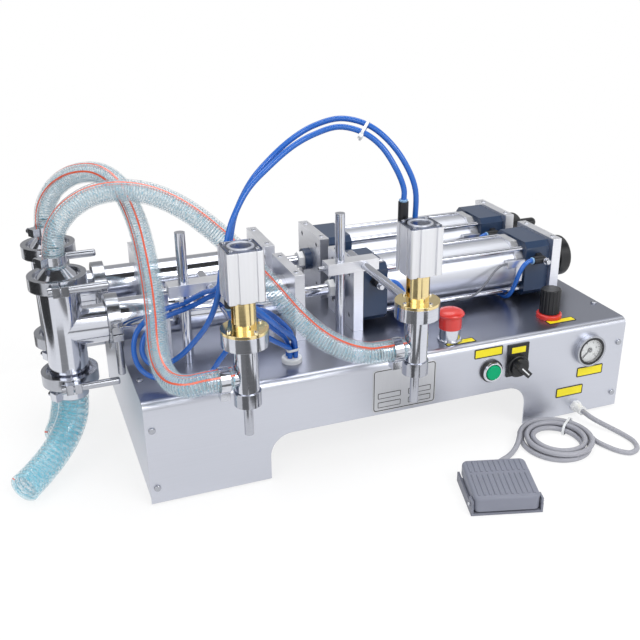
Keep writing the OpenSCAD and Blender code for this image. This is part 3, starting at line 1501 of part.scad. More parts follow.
cabinet_cover();
end_panels();
cabinet_feet();
cabinet_screws();
valve_manifold();
saddle_plates();
rod_plates();
nose_plates();
wheel_plates();
product_cylinders();
air_barrels();
air_caps();
tie_rods();
sensor_bands();
tee_bodies();
clamp_halves();
clamp_bolts();
ptfe_seals();
hose_barbs();
stand_rods();
clamp_bars();
arm_rods();
clamp_screws();
nozzle_bodies();
nozzle_yokes();
actuators();
nozzle_tips();
push_in_fittings();
hose_clips();
button_bezel();
selector_base();
gauge_case();
cord_glands();
estop_base();
regulator_body();
pedal_base();
pedal_pin();
product_hoses();
suction_hoses();
air_tubes();
pedal_cord();
pedal_cord_coil();
piston_front();
piston_rear();
handwheel_front();
handwheel_rear();
stroke_stop_front();
stroke_stop_rear();
suction_ball_front();
suction_ball_rear();
discharge_ball_front();
discharge_ball_rear();
nozzle_stem_left();
nozzle_stem_right();
estop_head();
button_cap();
selector_lever();
gauge_needle();
regulator_knob();
pedal_treadle();
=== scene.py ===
# %% [markdown]
# A bench-top piston filler stands on a pale studio floor. Its solids are already packed as a frame at
# their real size, so this lesson only dresses them: cords and hoses first, then finishes, then small
# trim. Everything is in metres, in the frame's own axes: X along the cabinet, Y to the back, Z up.

# %% Load the frame
from math import atan2, ceil, cos, degrees, radians, sin, sqrt, tau

import bpy
from mathutils import Matrix, Vector


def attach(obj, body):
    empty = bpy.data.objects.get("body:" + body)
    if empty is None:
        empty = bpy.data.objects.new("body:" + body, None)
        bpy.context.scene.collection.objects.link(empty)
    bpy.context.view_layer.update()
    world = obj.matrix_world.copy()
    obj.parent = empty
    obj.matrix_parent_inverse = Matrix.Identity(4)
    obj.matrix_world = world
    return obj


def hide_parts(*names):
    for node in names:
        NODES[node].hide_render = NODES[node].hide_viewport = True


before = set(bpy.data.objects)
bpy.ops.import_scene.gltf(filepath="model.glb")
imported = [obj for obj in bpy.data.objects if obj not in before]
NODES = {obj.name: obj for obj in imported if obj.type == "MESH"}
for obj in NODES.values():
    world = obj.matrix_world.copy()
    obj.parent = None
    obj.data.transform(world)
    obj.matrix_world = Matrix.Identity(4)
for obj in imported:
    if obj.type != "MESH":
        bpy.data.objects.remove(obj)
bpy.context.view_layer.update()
MACHINE = "machine"
MM = 0.001
bpy.ops.object.select_all(action="DESELECT")

# %% [markdown]
# The camera is the first thing to settle, because every comparison depends on it. A product shot like
# this is taken from the front left, a little above the cabinet, with a short telephoto lens. The place
# and the three directions below come from matching the cabinet's straight edges, so no shift is needed.

# %% Camera
CAMERA_AT = Vector((-420.35, -1001.38, 586.42)) * MM
CAMERA_RIGHT = Vector((0.93579, -0.35241, -0.00979))
CAMERA_UP = Vector((0.14982, 0.37238, 0.91591))
CAMERA_BACK = Vector((-0.31913, -0.85857, 0.40127))
CAMERA_LENS, CAMERA_SENSOR, CAMERA_NEAR = 49.02, 36, 0.05
bpy.ops.object.camera_add()
camera = bpy.context.object
camera.data.lens = CAMERA_LENS
camera.data.sensor_width = CAMERA_SENSOR
camera.data.clip_start = CAMERA_NEAR
turn = Matrix((CAMERA_RIGHT, CAMERA_UP, CAMERA_BACK)).transposed().to_4x4()
camera.matrix_world = Matrix.Translation(CAMERA_AT) @ turn
bpy.context.scene.camera = camera
print("camera at", [round(v, 3) for v in CAMERA_AT], "lens", CAMERA_LENS)

# %% [markdown]
# A finish is a small network of shader nodes. Wiring nodes one by one hides the idea behind them, so
# two small classes turn the wiring into plain Python. The first is a Wire: one output socket with
# arithmetic on it, where each operator adds a Math node. The reflected forms let a plain number come
# first, as in 1 - mask.

# %% A socket with arithmetic
class Wire:
    def __init__(self, finish, socket):
        self.finish = finish
        self.socket = socket

    def maths(self, operation, *values):
        return self.finish.node("Math", {"operation": operation}, dict(enumerate(values)))

    def __add__(self, other):
        return self.maths("ADD", self, other)

    def __radd__(self, other):
        return self.maths("ADD", other, self)

    def __sub__(self, other):
        return self.maths("SUBTRACT", self, other)

    def __rsub__(self, other):
        return self.maths("SUBTRACT", other, self)

    def __mul__(self, other):
        return self.maths("MULTIPLY", self, other)

    def __rmul__(self, other):
        return self.maths("MULTIPLY", other, self)

    def __gt__(self, other):
        return self.maths("GREATER_THAN", self, other)

    def __lt__(self, other):
        return self.maths("LESS_THAN", self, other)

    def __abs__(self):
        return self.maths("ABSOLUTE", self)

    def sine(self):
        return self.maths("SINE", self)

    def larger(self, other):
        return self.maths("MAXIMUM", self, other)

    def part(self, axis):
        return self.finish.node("SeparateXYZ", None, {"Vector": self}, axis)


print("wires can be added, multiplied and compared")

# %% [markdown]
# A Finish owns one material, or the world, and its node tree. Every node comes from one method that
# sets it up and connects its inputs, so that a finish below reads as a short list of expressions: noise
# for the grain, a mix for the colour, a bump for the touch.

# %% A material that adds nodes
class Finish:
    def __init__(self, name, kind="materials", surface="Principled BSDF"):
        self.material = getattr(bpy.data, kind).new(name)
        self.material.use_nodes = True
        self.tree = self.material.node_tree
        self.surface = self.tree.nodes[surface]

    def node(self, kind, settings=None, inputs=None, output=0):
        made = self.tree.nodes.new("ShaderNode" + kind)
        for key, value in (settings or {}).items():
            setattr(made, key, value)
        for key, value in (inputs or {}).items():
            self.feed(made.inputs[key], value)
        return Wire(self, made.outputs[output])

    def feed(self, socket, value):
        if isinstance(value, Wire):
            self.tree.links.new(value.socket, socket)
        else:
            socket.default_value = value

    def set(self, **sockets):
        for key, value in sockets.items():
            self.feed(self.surface.inputs[key.replace("_", " ")], value)
        return self.material

    def place(self, kind="Object"):
        return self.node("TexCoord", None, None, kind)

    def ray(self, kind):
        return self.node("LightPath", None, None, "Is " + kind + " Ray")

    def noise(self, grain, detail=3):
        stretch = grain if isinstance(grain, tuple) else (grain, grain, grain)
        spread = self.node("Mapping", None, {"Vector": self.place(), "Scale": stretch})
        return self.node("TexNoise", None, {"Vector": spread, "Scale": 1.0, "Detail": detail})

    def mix(self, mask, first, second):
        return self.node("Mix", {"data_type": "RGBA"}, {0: mask, 6: first, 7: second}, 2)

    def bump(self, height, strength, depth, edge=0.0):
        inputs = {"Strength": strength, "Distance": depth, "Height": height}
        if edge:
            inputs["Normal"] = self.node("Bevel", {"samples": 4}, {"Radius": edge})
        return self.node("Bump", None, inputs)


print("finishes are ready to be mixed")

# %% [markdown]
# A hose or cable is a round section carried along a smooth line. A curve object would do, but a swept
# mesh gives a true bore at a cut end and a UV map that runs along the length, which stripes and spirals
# can follow. The line passes through the same points that the solids follow.

# %% A smooth line through the points of a route
def smooth(route, steps=6):
    points = [Vector(p) * MM for p in route]
    path = []
    for i in range(len(points) - 1):
        before, start = points[max(i - 1, 0)], points[i]
        end, after = points[i + 1], points[min(i + 2, len(points) - 1)]
        for k in range(steps):
            t = k / steps
            bend = 2 * start + (end - before) * t
            bend += (2 * before - 5 * start + 4 * end - after) * t * t
            bend += (3 * start - before - 3 * end + after) * t ** 3
            path.append(bend / 2)
    path.append(points[-1])
    return path


def length_of(path):
    return sum((b - a).length for a, b in zip(path, path[1:]))


print("a line has", len(smooth([[0, 0, 0], [1, 0, 0], [2, 1, 0]])), "points for three of its route")

# %% [markdown]
# To carry a section along the line, each point needs two directions across it. They are taken over from
# the point before and straightened, so the section doesn't twist. A ring of points then stands on each
# point of the line.

# %% Rings along the line
def frames_along(path, away=None):
    last = len(path) - 1
    headings = [(path[min(i + 1, last)] - path[max(i - 1, 0)]).normalized() for i in range(last + 1)]
    side = Vector(away) if away else headings[0].orthogonal()
    frames = []
    for heading in headings:
        side = (side - heading * side.dot(heading)).normalized()
        frames.append((side, heading.cross(side)))
    return frames


def rings_along(path, radius, sides, away=None):
    rings = []
    for point, (side, other) in zip(path, frames_along(path, away)):
        for k in range(sides):
            angle = tau * k / sides
            rings.append(point + radius * (cos(angle) * side + sin(angle) * other))
    return rings


short_line = smooth([[0, 0, 0], [1, 0, 0]], 2)
print("square rings on", len(short_line), "points have", len(rings_along(short_line, MM, 4)), "corners")

# %% [markdown]
# Quads join each ring to the next. A hollow tube has a second skin inside, turned the other way, and a
# rim of quads at both ends; a solid one is closed by two caps. The UV map gets the length run and the
# share of a turn.

# %% Faces and map of a tube
def tube_faces(count, sides, hollow):
    faces = []
    for skin in range(1 + hollow):
        for i in range(count - 1):
            ring = (skin * count + i) * sides
            for k in range(sides):
                a, b = ring + k, ring + (k + 1) % sides
                quad = (a, b, b + sides, a + sides)
                faces.append(quad[::-1] if skin else quad)
    base, last = count * sides, (count - 1) * sides
    if hollow:
        for k in range(sides):
            m = (k + 1) % sides
            faces.append((m, k, base + k, base + m))
            faces.append((last + k, last + m, base + last + m, base + last + k))
    else:
        faces.append(tuple(reversed(range(sides))))
        faces.append(tuple(range(last, last + sides)))
    return faces


def unroll(mesh, path, sides):
    run = [0.0]
    for a, b in zip(path, path[1:]):
        run.append(run[-1] + (b - a).length)
    uv = mesh.uv_layers.new(name="along")
    for face in mesh.polygons:
        for loop, vertex in zip(face.loop_indices, face.vertices):
            ring, k = divmod(vertex, sides)
            wrap = 1.0 if k == 0 and max(v % sides for v in face.vertices) == sides - 1 else 0.0
            uv.data[loop].uv = (run[ring % len(path)], k / sides + wrap)


print("a square rod of three rings has", len(tube_faces(3, 4, False)), "faces")

# %% [markdown]
# With these, a cord is one call: a line, a number of sides, a radius, and a second radius where it has
# a bore. It rides on the machine, because both of its ends do.

# %% Carrying a round section along the line
def swept(name, path, sides, outer, inner=0.0, away=None):
    skins = (outer, inner) if inner else (outer,)
    points = [point for radius in skins for point in rings_along(path, radius, sides, away)]
    mesh = bpy.data.meshes.new(name)
    mesh.from_pydata(points, [], tube_faces(len(path), sides, bool(inner)))
    unroll(mesh, path, sides)
    mesh.shade_smooth()
    piece = bpy.data.objects.new(name, mesh)
    bpy.context.scene.collection.objects.link(piece)
    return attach(piece, MACHINE)


print("sections can be swept")

# %% [markdown]
# The wire in a hose's wall winds round the same line. It takes a step along and a step round at once,
# so its path is swept like any other tube.

# %% Winding round the line
def helix(path, radius, pitch, per_turn=12):
    run, frames, wound = 0.0, frames_along(path), []
    for i in range(len(path) - 1):
        step = (path[i + 1] - path[i]).length
        count = max(1, ceil(step / pitch * per_turn))
        for k in range(count):
            t = k / count
            angle = tau * (run + t * step) / pitch
            side = frames[i][0].lerp(frames[i + 1][0], t)
            other = frames[i][1].lerp(frames[i + 1][1], t)
            middle = path[i].lerp(path[i + 1], t)
            wound.append(middle + radius * (cos(angle) * side + sin(angle) * other))
        run += step
    return wound


print("wires can be wound")

# %% [markdown]
# The product hoses are clear PVC with a close spiral in the wall and two thin red lines along the skin.
# The spiral is a real wire here, because it shows through the wall and catches the light. The skin is
# one finish: nearly clear between the turns, milky on them, with the red lines taken from the UV map's
# second coordinate.

# %% Finishes for the hoses
HOSE_PITCH, SUCTION_PITCH = 3.2 * MM, 6.4 * MM
STRIPES, STRIPE_HALF, STRIPE_COVER = (0.43, 0.57), 0.013, 0.92


def rgb(red, green, blue):
    return (red, green, blue, 1.0)


STRIPE_RED = rgb(0.76, 0.10, 0.04)


def hose_finish(name, pale, deep, clear, milky, stripes, pitch):
    finish = Finish(name)
    along = finish.place("UV")
    run, turn_share = along.part(0), along.part(1)
    wave = (run * (tau / pitch) + turn_share * tau).sine()
    speck = (finish.noise(330, 2) - 0.5) * 4.0 + 0.5
    spiral = (wave + 1) * 0.5 * speck.larger(0.0)
    line = 0.0
    for middle in stripes:
        line = (abs(turn_share - middle) < STRIPE_HALF) + line
    body = finish.mix(line, finish.mix(spiral, pale, deep), STRIPE_RED)
    opacity = (clear + spiral * milky).larger(line * STRIPE_COVER)
    return finish.set(Base_Color=body, Roughness=0.10 + speck * 0.06, Alpha=opacity, Coat_Weight=1.0,
                      Normal=finish.bump(wave, 0.3, 0.0004))


CLEAR_PVC = hose_finish("clear_pvc", rgb(0.80, 0.93, 0.98), rgb(0.10, 0.36, 0.50), 0.12, 0.46,
                        STRIPES, HOSE_PITCH)
TEAL_PVC = hose_finish("teal_pvc", rgb(0.36, 0.76, 0.90), rgb(0.08, 0.46, 0.62), 0.26, 0.44,
                       (0.5,), SUCTION_PITCH)
wire_metal = Finish("spiral_wire")
fine = wire_metal.noise(300)
wire_colour = wire_metal.mix(fine, rgb(0.42, 0.54, 0.60), rgb(0.80, 0.88, 0.92))
SPIRAL_WIRE = wire_metal.set(Base_Color=wire_colour, Metallic=0.5, Roughness=0.2 + fine * 0.1)
print("hose finishes:", CLEAR_PVC.name, TEAL_PVC.name, SPIRAL_WIRE.name)

# %% [markdown]
# Air tubes and cables have a plain coloured skin. Blue polyurethane is smooth and glossy, the cables'
# grey skin is duller and a little grained. A slow cloud of noise keeps each from being one flat colour.

# %% Finishes for tubes and cables
def darker(colour, share):
    return rgb(*(share * c for c in colour[:3]))


def cable_finish(name, colour, rough, depth):
    finish = Finish(name)
    cloud = finish.noise(18)
    return finish.set(Base_Color=finish.mix(cloud, darker(colour, 0.86), colour),
                      Roughness=rough + (cloud - 0.5) * 0.08,
                      Normal=finish.bump(finish.noise(900, 2), depth, 0.0003))


BLUE_TUBE = cable_finish("blue_air_tube", rgb(0.020, 0.140, 0.56), 0.20, 0.004)
SENSOR_GREY = cable_finish("sensor_cable_grey", rgb(0.17, 0.18, 0.21), 0.35, 0.04)
GREY_CABLE = cable_finish("grey_cable", rgb(0.36, 0.365, 0.41), 0.4, 0.08)
print("cord finishes:", BLUE_TUBE.name, SENSOR_GREY.name, GREY_CABLE.name)

# %% [markdown]
# Each hose leaves a tee on the left, arches over and runs down to a nozzle. The routes are the same
# points as in the solids, in millimetres.

# %% Product hoses
HOSE_OUT, HOSE_IN, HOSE_SIDES = 12.5 * MM, 9 * MM, 32
WIRE_R, WIRE_SIDES = 0.42 * MM, 5
front_hose_route = [
    [-377, -31, 250], [-377, -31, 272], [-371, -33, 295], [-355, -38, 316], [-330, -45, 331],
    [-300, -57, 337], [-268, -74, 333], [-238, -96, 319], [-211, -122, 297], [-188, -147, 272],
    [-167, -172, 246], [-147, -195, 219], [-127, -212, 199], [-105, -224, 186], [-82, -231, 179],
    [-66, -232.5, 178], [-38, -232.5, 178]]
rear_hose_route = [
    [-377, 87, 250], [-377, 87, 272], [-372, 84, 293], [-359, 73, 315], [-338, 54, 332],
    [-314, 30, 338], [-297, 4, 331], [-288, -22, 314], [-283, -50, 291], [-282, -78, 264],
    [-283, -104, 237], [-286, -130, 212], [-291, -160, 190], [-292, -186, 179], [-287, -210, 174],
    [-275, -227, 175], [-257, -232.5, 178], [-229.5, -232.5, 178]]


def painted(piece, *materials):
    for material in materials:
        piece.data.materials.append(material)
    return piece


def spiral_hose(name, route, outer, inner, skin, pitch, node, away):
    path = smooth(route)
    hose = painted(swept(name, path, HOSE_SIDES, outer, inner, away), skin)
    winding = helix(path, (outer + inner) / 2, pitch)
    wire = painted(swept(name + "_wire", winding, WIRE_SIDES, WIRE_R), SPIRAL_WIRE)
    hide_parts(node)
    print(name, "is", round(length_of(path) / MM), "mm long")
    return hose, wire, path


PRODUCT_HOSES = {
    "front_hose": (front_hose_route, (0.96, -0.27, 0)), "rear_hose": (rear_hose_route, (1.0, 0.1, 0))}
for name, (route, away) in PRODUCT_HOSES.items():
    hose, wire, path = spiral_hose(name, route, HOSE_OUT, HOSE_IN, CLEAR_PVC, HOSE_PITCH,
                                   "product_hoses", away)
    length_of(path)
    2 * HOSE_OUT

# %% [markdown]
# The suction hoses are the same kind in a wider, bluer tube. Only a short end of each is on the
# machine, cut square, so they are pieces of hose and not free cords.

# %% Suction hoses
SUCTION_OUT, SUCTION_IN = 18 * MM, 14.5 * MM
front_suction_route = [
    [-377, -31, 104], [-377, -31, 82], [-381, -36, 62], [-392, -48, 45], [-408, -66, 33],
    [-427, -87, 25], [-447, -110, 21]]
rear_suction_route = [
    [-377, 87, 104], [-377, 87, 84], [-378, 82, 64], [-381, 68, 46], [-386, 46, 32],
    [-392, 22, 24], [-399, -2, 21]]
SUCTION_HOSES = {"front_suction_hose": front_suction_route, "rear_suction_hose": rear_suction_route}
for name, route in SUCTION_HOSES.items():
    spiral_hose(name, route, SUCTION_OUT, SUCTION_IN, TEAL_PVC, SUCTION_PITCH, "suction_hoses",
                (1, 0, 0))

# %% [markdown]
# Blue polyurethane tubes carry air from the cabinet to the nozzles. They are stiff enough to stand in a
# loop and an arch of their own. Two go from the deck's grommet in a loop and a high arch to the right
# nozzle's cylinder.

# %% Routes of the arch tubes
outer_tube_route = [
    [-134, -121.5, 136], [-134, -121.5, 150], [-142, -131, 166], [-162, -153, 190], [-184, -171, 218],
    [-203, -171, 238], [-216, -155, 240], [-225, -134, 230], [-236, -113, 215], [-247, -95, 203],
    [-268, -96, 198], [-285, -99, 191], [-297, -104, 179], [-301, -110, 165], [-296, -118, 155],
    [-284, -129, 154], [-269, -142, 166], [-255, -157, 186], [-241, -182, 219], [-232, -197, 253],
    [-226, -195, 282], [-219, -193, 307], [-210, -188, 330], [-190, -177, 356], [-162, -163, 374],
    [-135, -158, 391], [-110, -158, 402], [-87, -167, 409], [-66, -181, 404], [-50, -193, 390],
    [-38, -203, 368], [-30.5, -206, 348], [-30.5, -206, 334]]
inner_tube_route = [
    [-134, -128.5, 136], [-134, -128.5, 148], [-144, -139, 158], [-168, -164, 182], [-194, -187, 208],
    [-214, -195, 203], [-230, -187, 180], [-240, -170, 156], [-264, -151, 145], [-290, -132, 141],
    [-305, -119, 148], [-310, -110, 165], [-305, -103, 185], [-289, -97, 199], [-269, -94, 206],
    [-248, -94, 210], [-239, -112, 222], [-231, -137, 237], [-226, -165, 250], [-221, -183, 268],
    [-218, -186, 284], [-212, -183, 309], [-203, -175, 333], [-183, -164, 360], [-158, -152, 379],
    [-133, -150, 397], [-108, -150, 409], [-83, -160, 416], [-60, -175, 411], [-42, -189, 396],
    [-27, -200, 373], [-17, -206, 345], [-16.5, -206, 310], [-16.5, -206, 292]]
print("arch routes of", len(outer_tube_route), "and", len(inner_tube_route), "points")

# %% [markdown]
# The left nozzle's two ports get short tubes from the same grommet. Shorter ones still join each air
# cylinder's caps to the fittings under its barrel. The rear unit is the front one moved back by one
# pitch, and so are its routes.

# %% Routes of the short tubes
UNIT_PITCH = 118
upper_port_route = [
    [-127, -128.5, 136], [-127, -128.5, 150], [-133, -139, 166], [-151, -162, 188], [-174, -190, 215],
    [-196, -204, 240], [-207, -206, 256], [-208, -206, 268], [-208, -206, 280]]
lower_port_route = [
    [-127, -121.5, 136], [-127, -121.5, 154], [-135, -131, 173], [-155, -154, 199], [-178, -176, 222],
    [-203, -196, 235], [-218, -205, 233], [-222, -206, 238], [-222, -206, 245]]
left_cap_route = [
    [14.1, -79.5, 192], [20, -79.5, 192], [28, -79.5, 187], [35, -79, 176], [39, -76, 161],
    [41, -70, 146], [42, -61, 138], [42, -48, 135.5], [42, -18.1, 135.5]]
right_cap_route = [
    [224.9, -79.5, 192], [219, -79.5, 192], [211, -79.5, 187], [205, -79, 176], [202, -76, 161],
    [200, -70, 146], [200, -61, 138], [200, -48, 135.5], [200, -18.1, 135.5]]


def back_a_unit(route):
    return [[x, y + UNIT_PITCH, z] for x, y, z in route]


print("four short routes of", len(left_cap_route), "points each")

# %% [markdown]
# Laying a cord is the same for every kind: sweep it, give it its finish, let it stand for the solids of
# its route, and print its length.

# %% Air tubes
TUBE_R, TUBE_SIDES = 3 * MM, 14


def laid(name, path, sides, radius, material, nodes):
    cord = painted(swept(name, path, sides, radius), material)
    if nodes:
        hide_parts(*nodes)
    length_of(path)
    print(name, "is", round(length_of(path) / MM), "mm long")


AIR_ROUTES = {
    "arch_tube_outer": outer_tube_route, "arch_tube_inner": inner_tube_route,
    "left_nozzle_tube_upper": upper_port_route, "left_nozzle_tube_lower": lower_port_route,
    "front_unit_tube_left": left_cap_route, "front_unit_tube_right": right_cap_route,
    "rear_unit_tube_left": back_a_unit(left_cap_route),
    "rear_unit_tube_right": back_a_unit(right_cap_route)}
AIR_PATHS = {name: smooth(route) for name, route in AIR_ROUTES.items()}
for name, path in AIR_PATHS.items():
    laid(name, path, TUBE_SIDES, TUBE_R, BLUE_TUBE, ["air_tubes"])

# %% [markdown]
# The pedal's cable leaves a white gland low on the front, swings out, lies in a coil of four loops and
# then runs to the pedal. It is one cord: the coil winds in on the floor for two turns, climbs, and
# winds out on top.

# %% Pedal cable
CABLE_D, CABLE_STEPS = 6.5, 4
COIL_AT = Vector((185, -223, 3.4))
COIL_R, COIL_STEP, COIL_RISE = 47, 8.5, 7
COIL_DOWN, COIL_CLIMB, COIL_TOTAL, COIL_PART = 720, 180, 1583, 15
gland_route = [
    [250, -184.5, 14], [250, -192, 14], [254, -202, 11], [263, -216, 7], [273, -236, 3.5],
    [275, -256, 3.5], [268, -272, 3.5], [254, -277, 3.5], [243, -268, 3.5], [236, -254, 3.5],
    [232, -240, 3.4], [232, -229.6, 3.4]]
pedal_route = [
    [133, -214, 8], [123, -222, 5], [111, -229, 3.5], [96, -235, 3.5],
    [86, -242, 4], [79.1, -251, 5], [76.4, -260.5, 5]]


def coil_point(angle, run=0.0):
    inner = COIL_R - COIL_STEP * COIL_DOWN / 360
    if angle < COIL_DOWN:
        reach = COIL_R - COIL_STEP * angle / 360
    else:
        reach = inner + COIL_STEP * max(0, angle - COIL_DOWN - COIL_CLIMB) / 360
    rise = COIL_RISE * min(1, max(0, (angle - COIL_DOWN) / COIL_CLIMB))
    a = radians(angle)
    out, ahead = Vector((cos(a), sin(a), 0)), Vector((-sin(a), cos(a), 0))
    return COIL_AT + reach * out + run * ahead + Vector((0, 0, rise))


parts = ceil(COIL_TOTAL / COIL_PART)
coil_route = [coil_point(COIL_TOTAL * i / parts) for i in range(parts + 1)]
coil_route += [coil_point(COIL_TOTAL, CABLE_D), coil_point(COIL_TOTAL, 2 * CABLE_D)]
path = smooth(gland_route + coil_route + pedal_route, CABLE_STEPS)
laid("pedal_cable", path, TUBE_SIDES, CABLE_D / 2 * MM, GREY_CABLE,
     ["pedal_cord", "pedal_cord_coil"])

# %% [markdown]
# Each air cylinder has a position sensor, and its thin grey cable dips in front of the barrel and then
# goes under it into the cabinet. It is short and limp, so a few points are enough.

# %% Sensor cables
SENSOR_CABLE_R, SENSOR_CABLE_SIDES = 1.5 * MM, 10
sensor_route = [
    [192.2, -67, 187], [186, -68, 187], [178, -70, 185], [169, -73, 180], [160, -76, 172],
    [151, -77, 163], [142, -76, 155], [132, -72, 150], [123, -64, 146.5], [115, -54, 142.5],
    [108, -44, 138], [103, -36, 134.5], [101, -32.5, 132], [100.5, -31.5, 130.3]]
SENSOR_ROUTES = {"front_sensor_cable": sensor_route, "rear_sensor_cable": back_a_unit(sensor_route)}
for name, route in SENSOR_ROUTES.items():
    laid(name, smooth(route), SENSOR_CABLE_SIDES, SENSOR_CABLE_R, SENSOR_GREY, [])

# %% [markdown]
# Metal is most of what shows. Every sheet, plate and tube keeps the marks of how it was made: long
# brushing on the cabinet, fine grinding on the plates, a turned grain round the tubes. Noise stretched
# far along one axis gives those lines, and it moves both the roughness and a very shallow bump. A tiny
# bevel in the shader breaks the sharp edges, as a file would.

# %% Metal finishes
TOP = 130
DECK_FROM = (TOP - 0.6) * MM


def dress(material, *names):
    for name in names:
        for slot in NODES[name].material_slots:
            slot.material = material


def metal(name, colour, rough, grain, depth=0.05, edge=0.0007, spread=0.12, shade=0.88):
    finish = Finish(name)
    lines = finish.noise(grain, 4)
    cloud = finish.noise(14, 2)
    return finish.set(Base_Color=finish.mix(lines, darker(colour, shade), colour), Metallic=1.0,
                      Roughness=rough + (lines - 0.5) * spread + (cloud - 0.5) * 0.06,
                      Normal=finish.bump(lines, depth, 0.0004, edge))


def sheet_finish(name, bright, shaded_deck_colour):
    finish = Finish(name)
    place = finish.place()
    lines = finish.noise((5, 900, 900), 4)
    cloud = finish.noise((6, 6, 9), 2)
    # Above DECK_FROM the sheet takes its second colour, darker and bluer: painted shade on the cabinet's
    # top, which is the same folded steel as the front.
    top = place.part(2) > DECK_FROM
    face = finish.mix(lines, darker(bright, 0.93), bright)
    painted_deck_shade = finish.mix(cloud, darker(shaded_deck_colour, 0.88), shaded_deck_colour)
    return finish.set(Base_Color=finish.mix(top, face, painted_deck_shade), Metallic=1.0,
                      Roughness=0.38 + (lines - 0.5) * 0.10 - top * 0.08,
                      Normal=finish.bump(lines, 0.05, 0.0003, 0.0006))


print("metals can be mixed")

# %% [markdown]
# Now the metals themselves. Colour, roughness and grain are set against the real thing: ground plates
# are light and dull, polished tubes dark and smooth, castings rough and uneven. Each is then given to
# the solids that are made of it.

# %% Metals, and the solids that wear them
# The cabinet sheet's second colour is painted shade for its top, a darker copy of the front's steel.
SHEET_STEEL = sheet_finish("cabinet_sheet", rgb(0.61, 0.63, 0.70), rgb(0.38, 0.40, 0.475))
GROUND_STEEL = metal("ground_plate", rgb(0.92, 0.93, 0.98), 0.36, (40, 40, 700))
LENGTHWAYS, UPWAYS = (500, 20, 20), (20, 20, 600)
POLISHED_TUBE = metal("polished_tube", rgb(0.66, 0.68, 0.75), 0.10, LENGTHWAYS, 0.02, 0.0005, 0.06)
UPRIGHT_TUBE = metal("polished_upright", rgb(0.66, 0.68, 0.75), 0.12, UPWAYS, 0.02, 0.0005, 0.06)
NOZZLE_STEEL = metal("nozzle_tip_steel", rgb(0.46, 0.475, 0.53), 0.16, UPWAYS, 0.02, 0.0005, 0.06)
CAST_STEEL = metal("tumbled_casting", rgb(0.46, 0.475, 0.52), 0.20, 260, 0.10, 0.0012, 0.2)
BRIGHT_STEEL = metal("bright_fixings", rgb(0.66, 0.68, 0.74), 0.14, 300, 0.04, 0.0005)
GAUGE_STEEL = metal("gauge_case_steel", rgb(0.44, 0.455, 0.50), 0.20, 300, 0.04, 0.0008)
BARREL_METAL = metal("anodised_barrel", rgb(0.67, 0.69, 0.75), 0.42, (8, 500, 500), 0.03)
ACTUATOR_METAL = metal("anodised_actuator", rgb(0.90, 0.91, 0.95), 0.32, (300, 300, 12), 0.03, 0.0008)
BRASS = metal("turned_brass", rgb(0.92, 0.75, 0.40), 0.15, (40, 40, 800), 0.04)
dress(SHEET_STEEL, "cabinet_cover", "end_panels")
dress(GROUND_STEEL, "saddle_plates", "rod_plates", "nose_plates", "wheel_plates", "clamp_bars")
dress(POLISHED_TUBE, "product_cylinders", "tie_rods", "piston_front", "piston_rear", "arm_rods")
dress(UPRIGHT_TUBE, "tee_bodies", "hose_barbs", "stand_rods", "nozzle_bodies")
dress(NOZZLE_STEEL, "nozzle_tips", "nozzle_stem_left", "nozzle_stem_right")
dress(CAST_STEEL, "clamp_halves", "clamp_bolts", "clamp_screws")
dress(GAUGE_STEEL, "cabinet_screws", "gauge_case")
dress(BRIGHT_STEEL, "hose_clips", "estop_base", "pedal_pin",
      "suction_ball_front", "suction_ball_rear", "discharge_ball_front", "discharge_ball_rear")
dress(BARREL_METAL, "air_barrels")
dress(ACTUATOR_METAL, "actuators", "sensor_bands")
dress(BRASS, "nozzle_yokes", "stroke_stop_front", "stroke_stop_rear")
print("metal is on")

# %% [markdown]
# The rest is paint, plastic and rubber. None of it is one flat colour: paint has a slight orange peel,
# moulded plastic a fine spark-eroded texture, and both vary a little in gloss where hands touch them.

# %% Paint, plastic and rubber
def plastic(name, colour, rough, grain=900, depth=0.12, edge=0.0006, coat=0.0, shine=0.5):
    finish = Finish(name)
    fine = finish.noise(grain, 2)
    cloud = finish.noise(20, 2)
    return finish.set(Base_Color=finish.mix(cloud, darker(colour, 0.88), colour), Coat_Weight=coat,
                      Roughness=rough + (cloud - 0.5) * 0.12, Specular_IOR_Level=shine,
                      Normal=finish.bump(fine, depth, 0.0003, edge))


CAP_PAINT = plastic("cap_paint", rgb(0.018, 0.042, 0.098), 0.34, 500, 0.06, 0.0008, 0.3)
BLACK_PLASTIC = plastic("black_plastic", rgb(0.008, 0.009, 0.012), 0.34)
RUBBER = plastic("foot_rubber", rgb(0.016, 0.016, 0.016), 0.7)
RED_PLASTIC = plastic("red_plastic", rgb(0.72, 0.035, 0.028), 0.26, 700, 0.04, 0.0008, 0.4)
GREEN_PLASTIC = plastic("green_plastic", rgb(0.0, 0.40, 0.17), 0.25, 700, 0.03, 0.0008, 0.0, 0.15)
WHITE_PLASTIC = plastic("white_plastic", rgb(0.88, 0.89, 0.90), 0.4)
PEDAL_BASE = plastic("pedal_base_plastic", rgb(0.19, 0.20, 0.25), 0.5)
PEDAL_GREY = plastic("pedal_grey_plastic", rgb(0.215, 0.228, 0.285), 0.45, 500)
dress(CAP_PAINT, "air_caps", "valve_manifold")
dress(BLACK_PLASTIC, "push_in_fittings", "selector_base", "selector_lever", "gauge_needle",
      "button_bezel", "regulator_knob", "handwheel_front", "handwheel_rear")
dress(RUBBER, "cabinet_feet")
dress(RED_PLASTIC, "estop_head", "regulator_body")
dress(GREEN_PLASTIC, "button_cap")
dress(WHITE_PLASTIC, "ptfe_seals", "cord_glands")
dress(PEDAL_BASE, "pedal_base")
dress(PEDAL_GREY, "pedal_treadle")
print("plastic and paint are on")

# %% [markdown]
# The small trim is modelled by hand, the way one would at the screen: add a primitive at its size and
# place, go into edit mode, select some faces or edges, and bevel, inset or extrude them. In a script
# the selecting is the part that needs care, so one helper does it by place and direction, and another
# applies a piece's place to its mesh.

# %% Helpers for modelling by hand
SQUARELY, SOFT_ANGLE = 0.99, 40


def enter(mode):
    bpy.ops.object.mode_set(mode=mode)


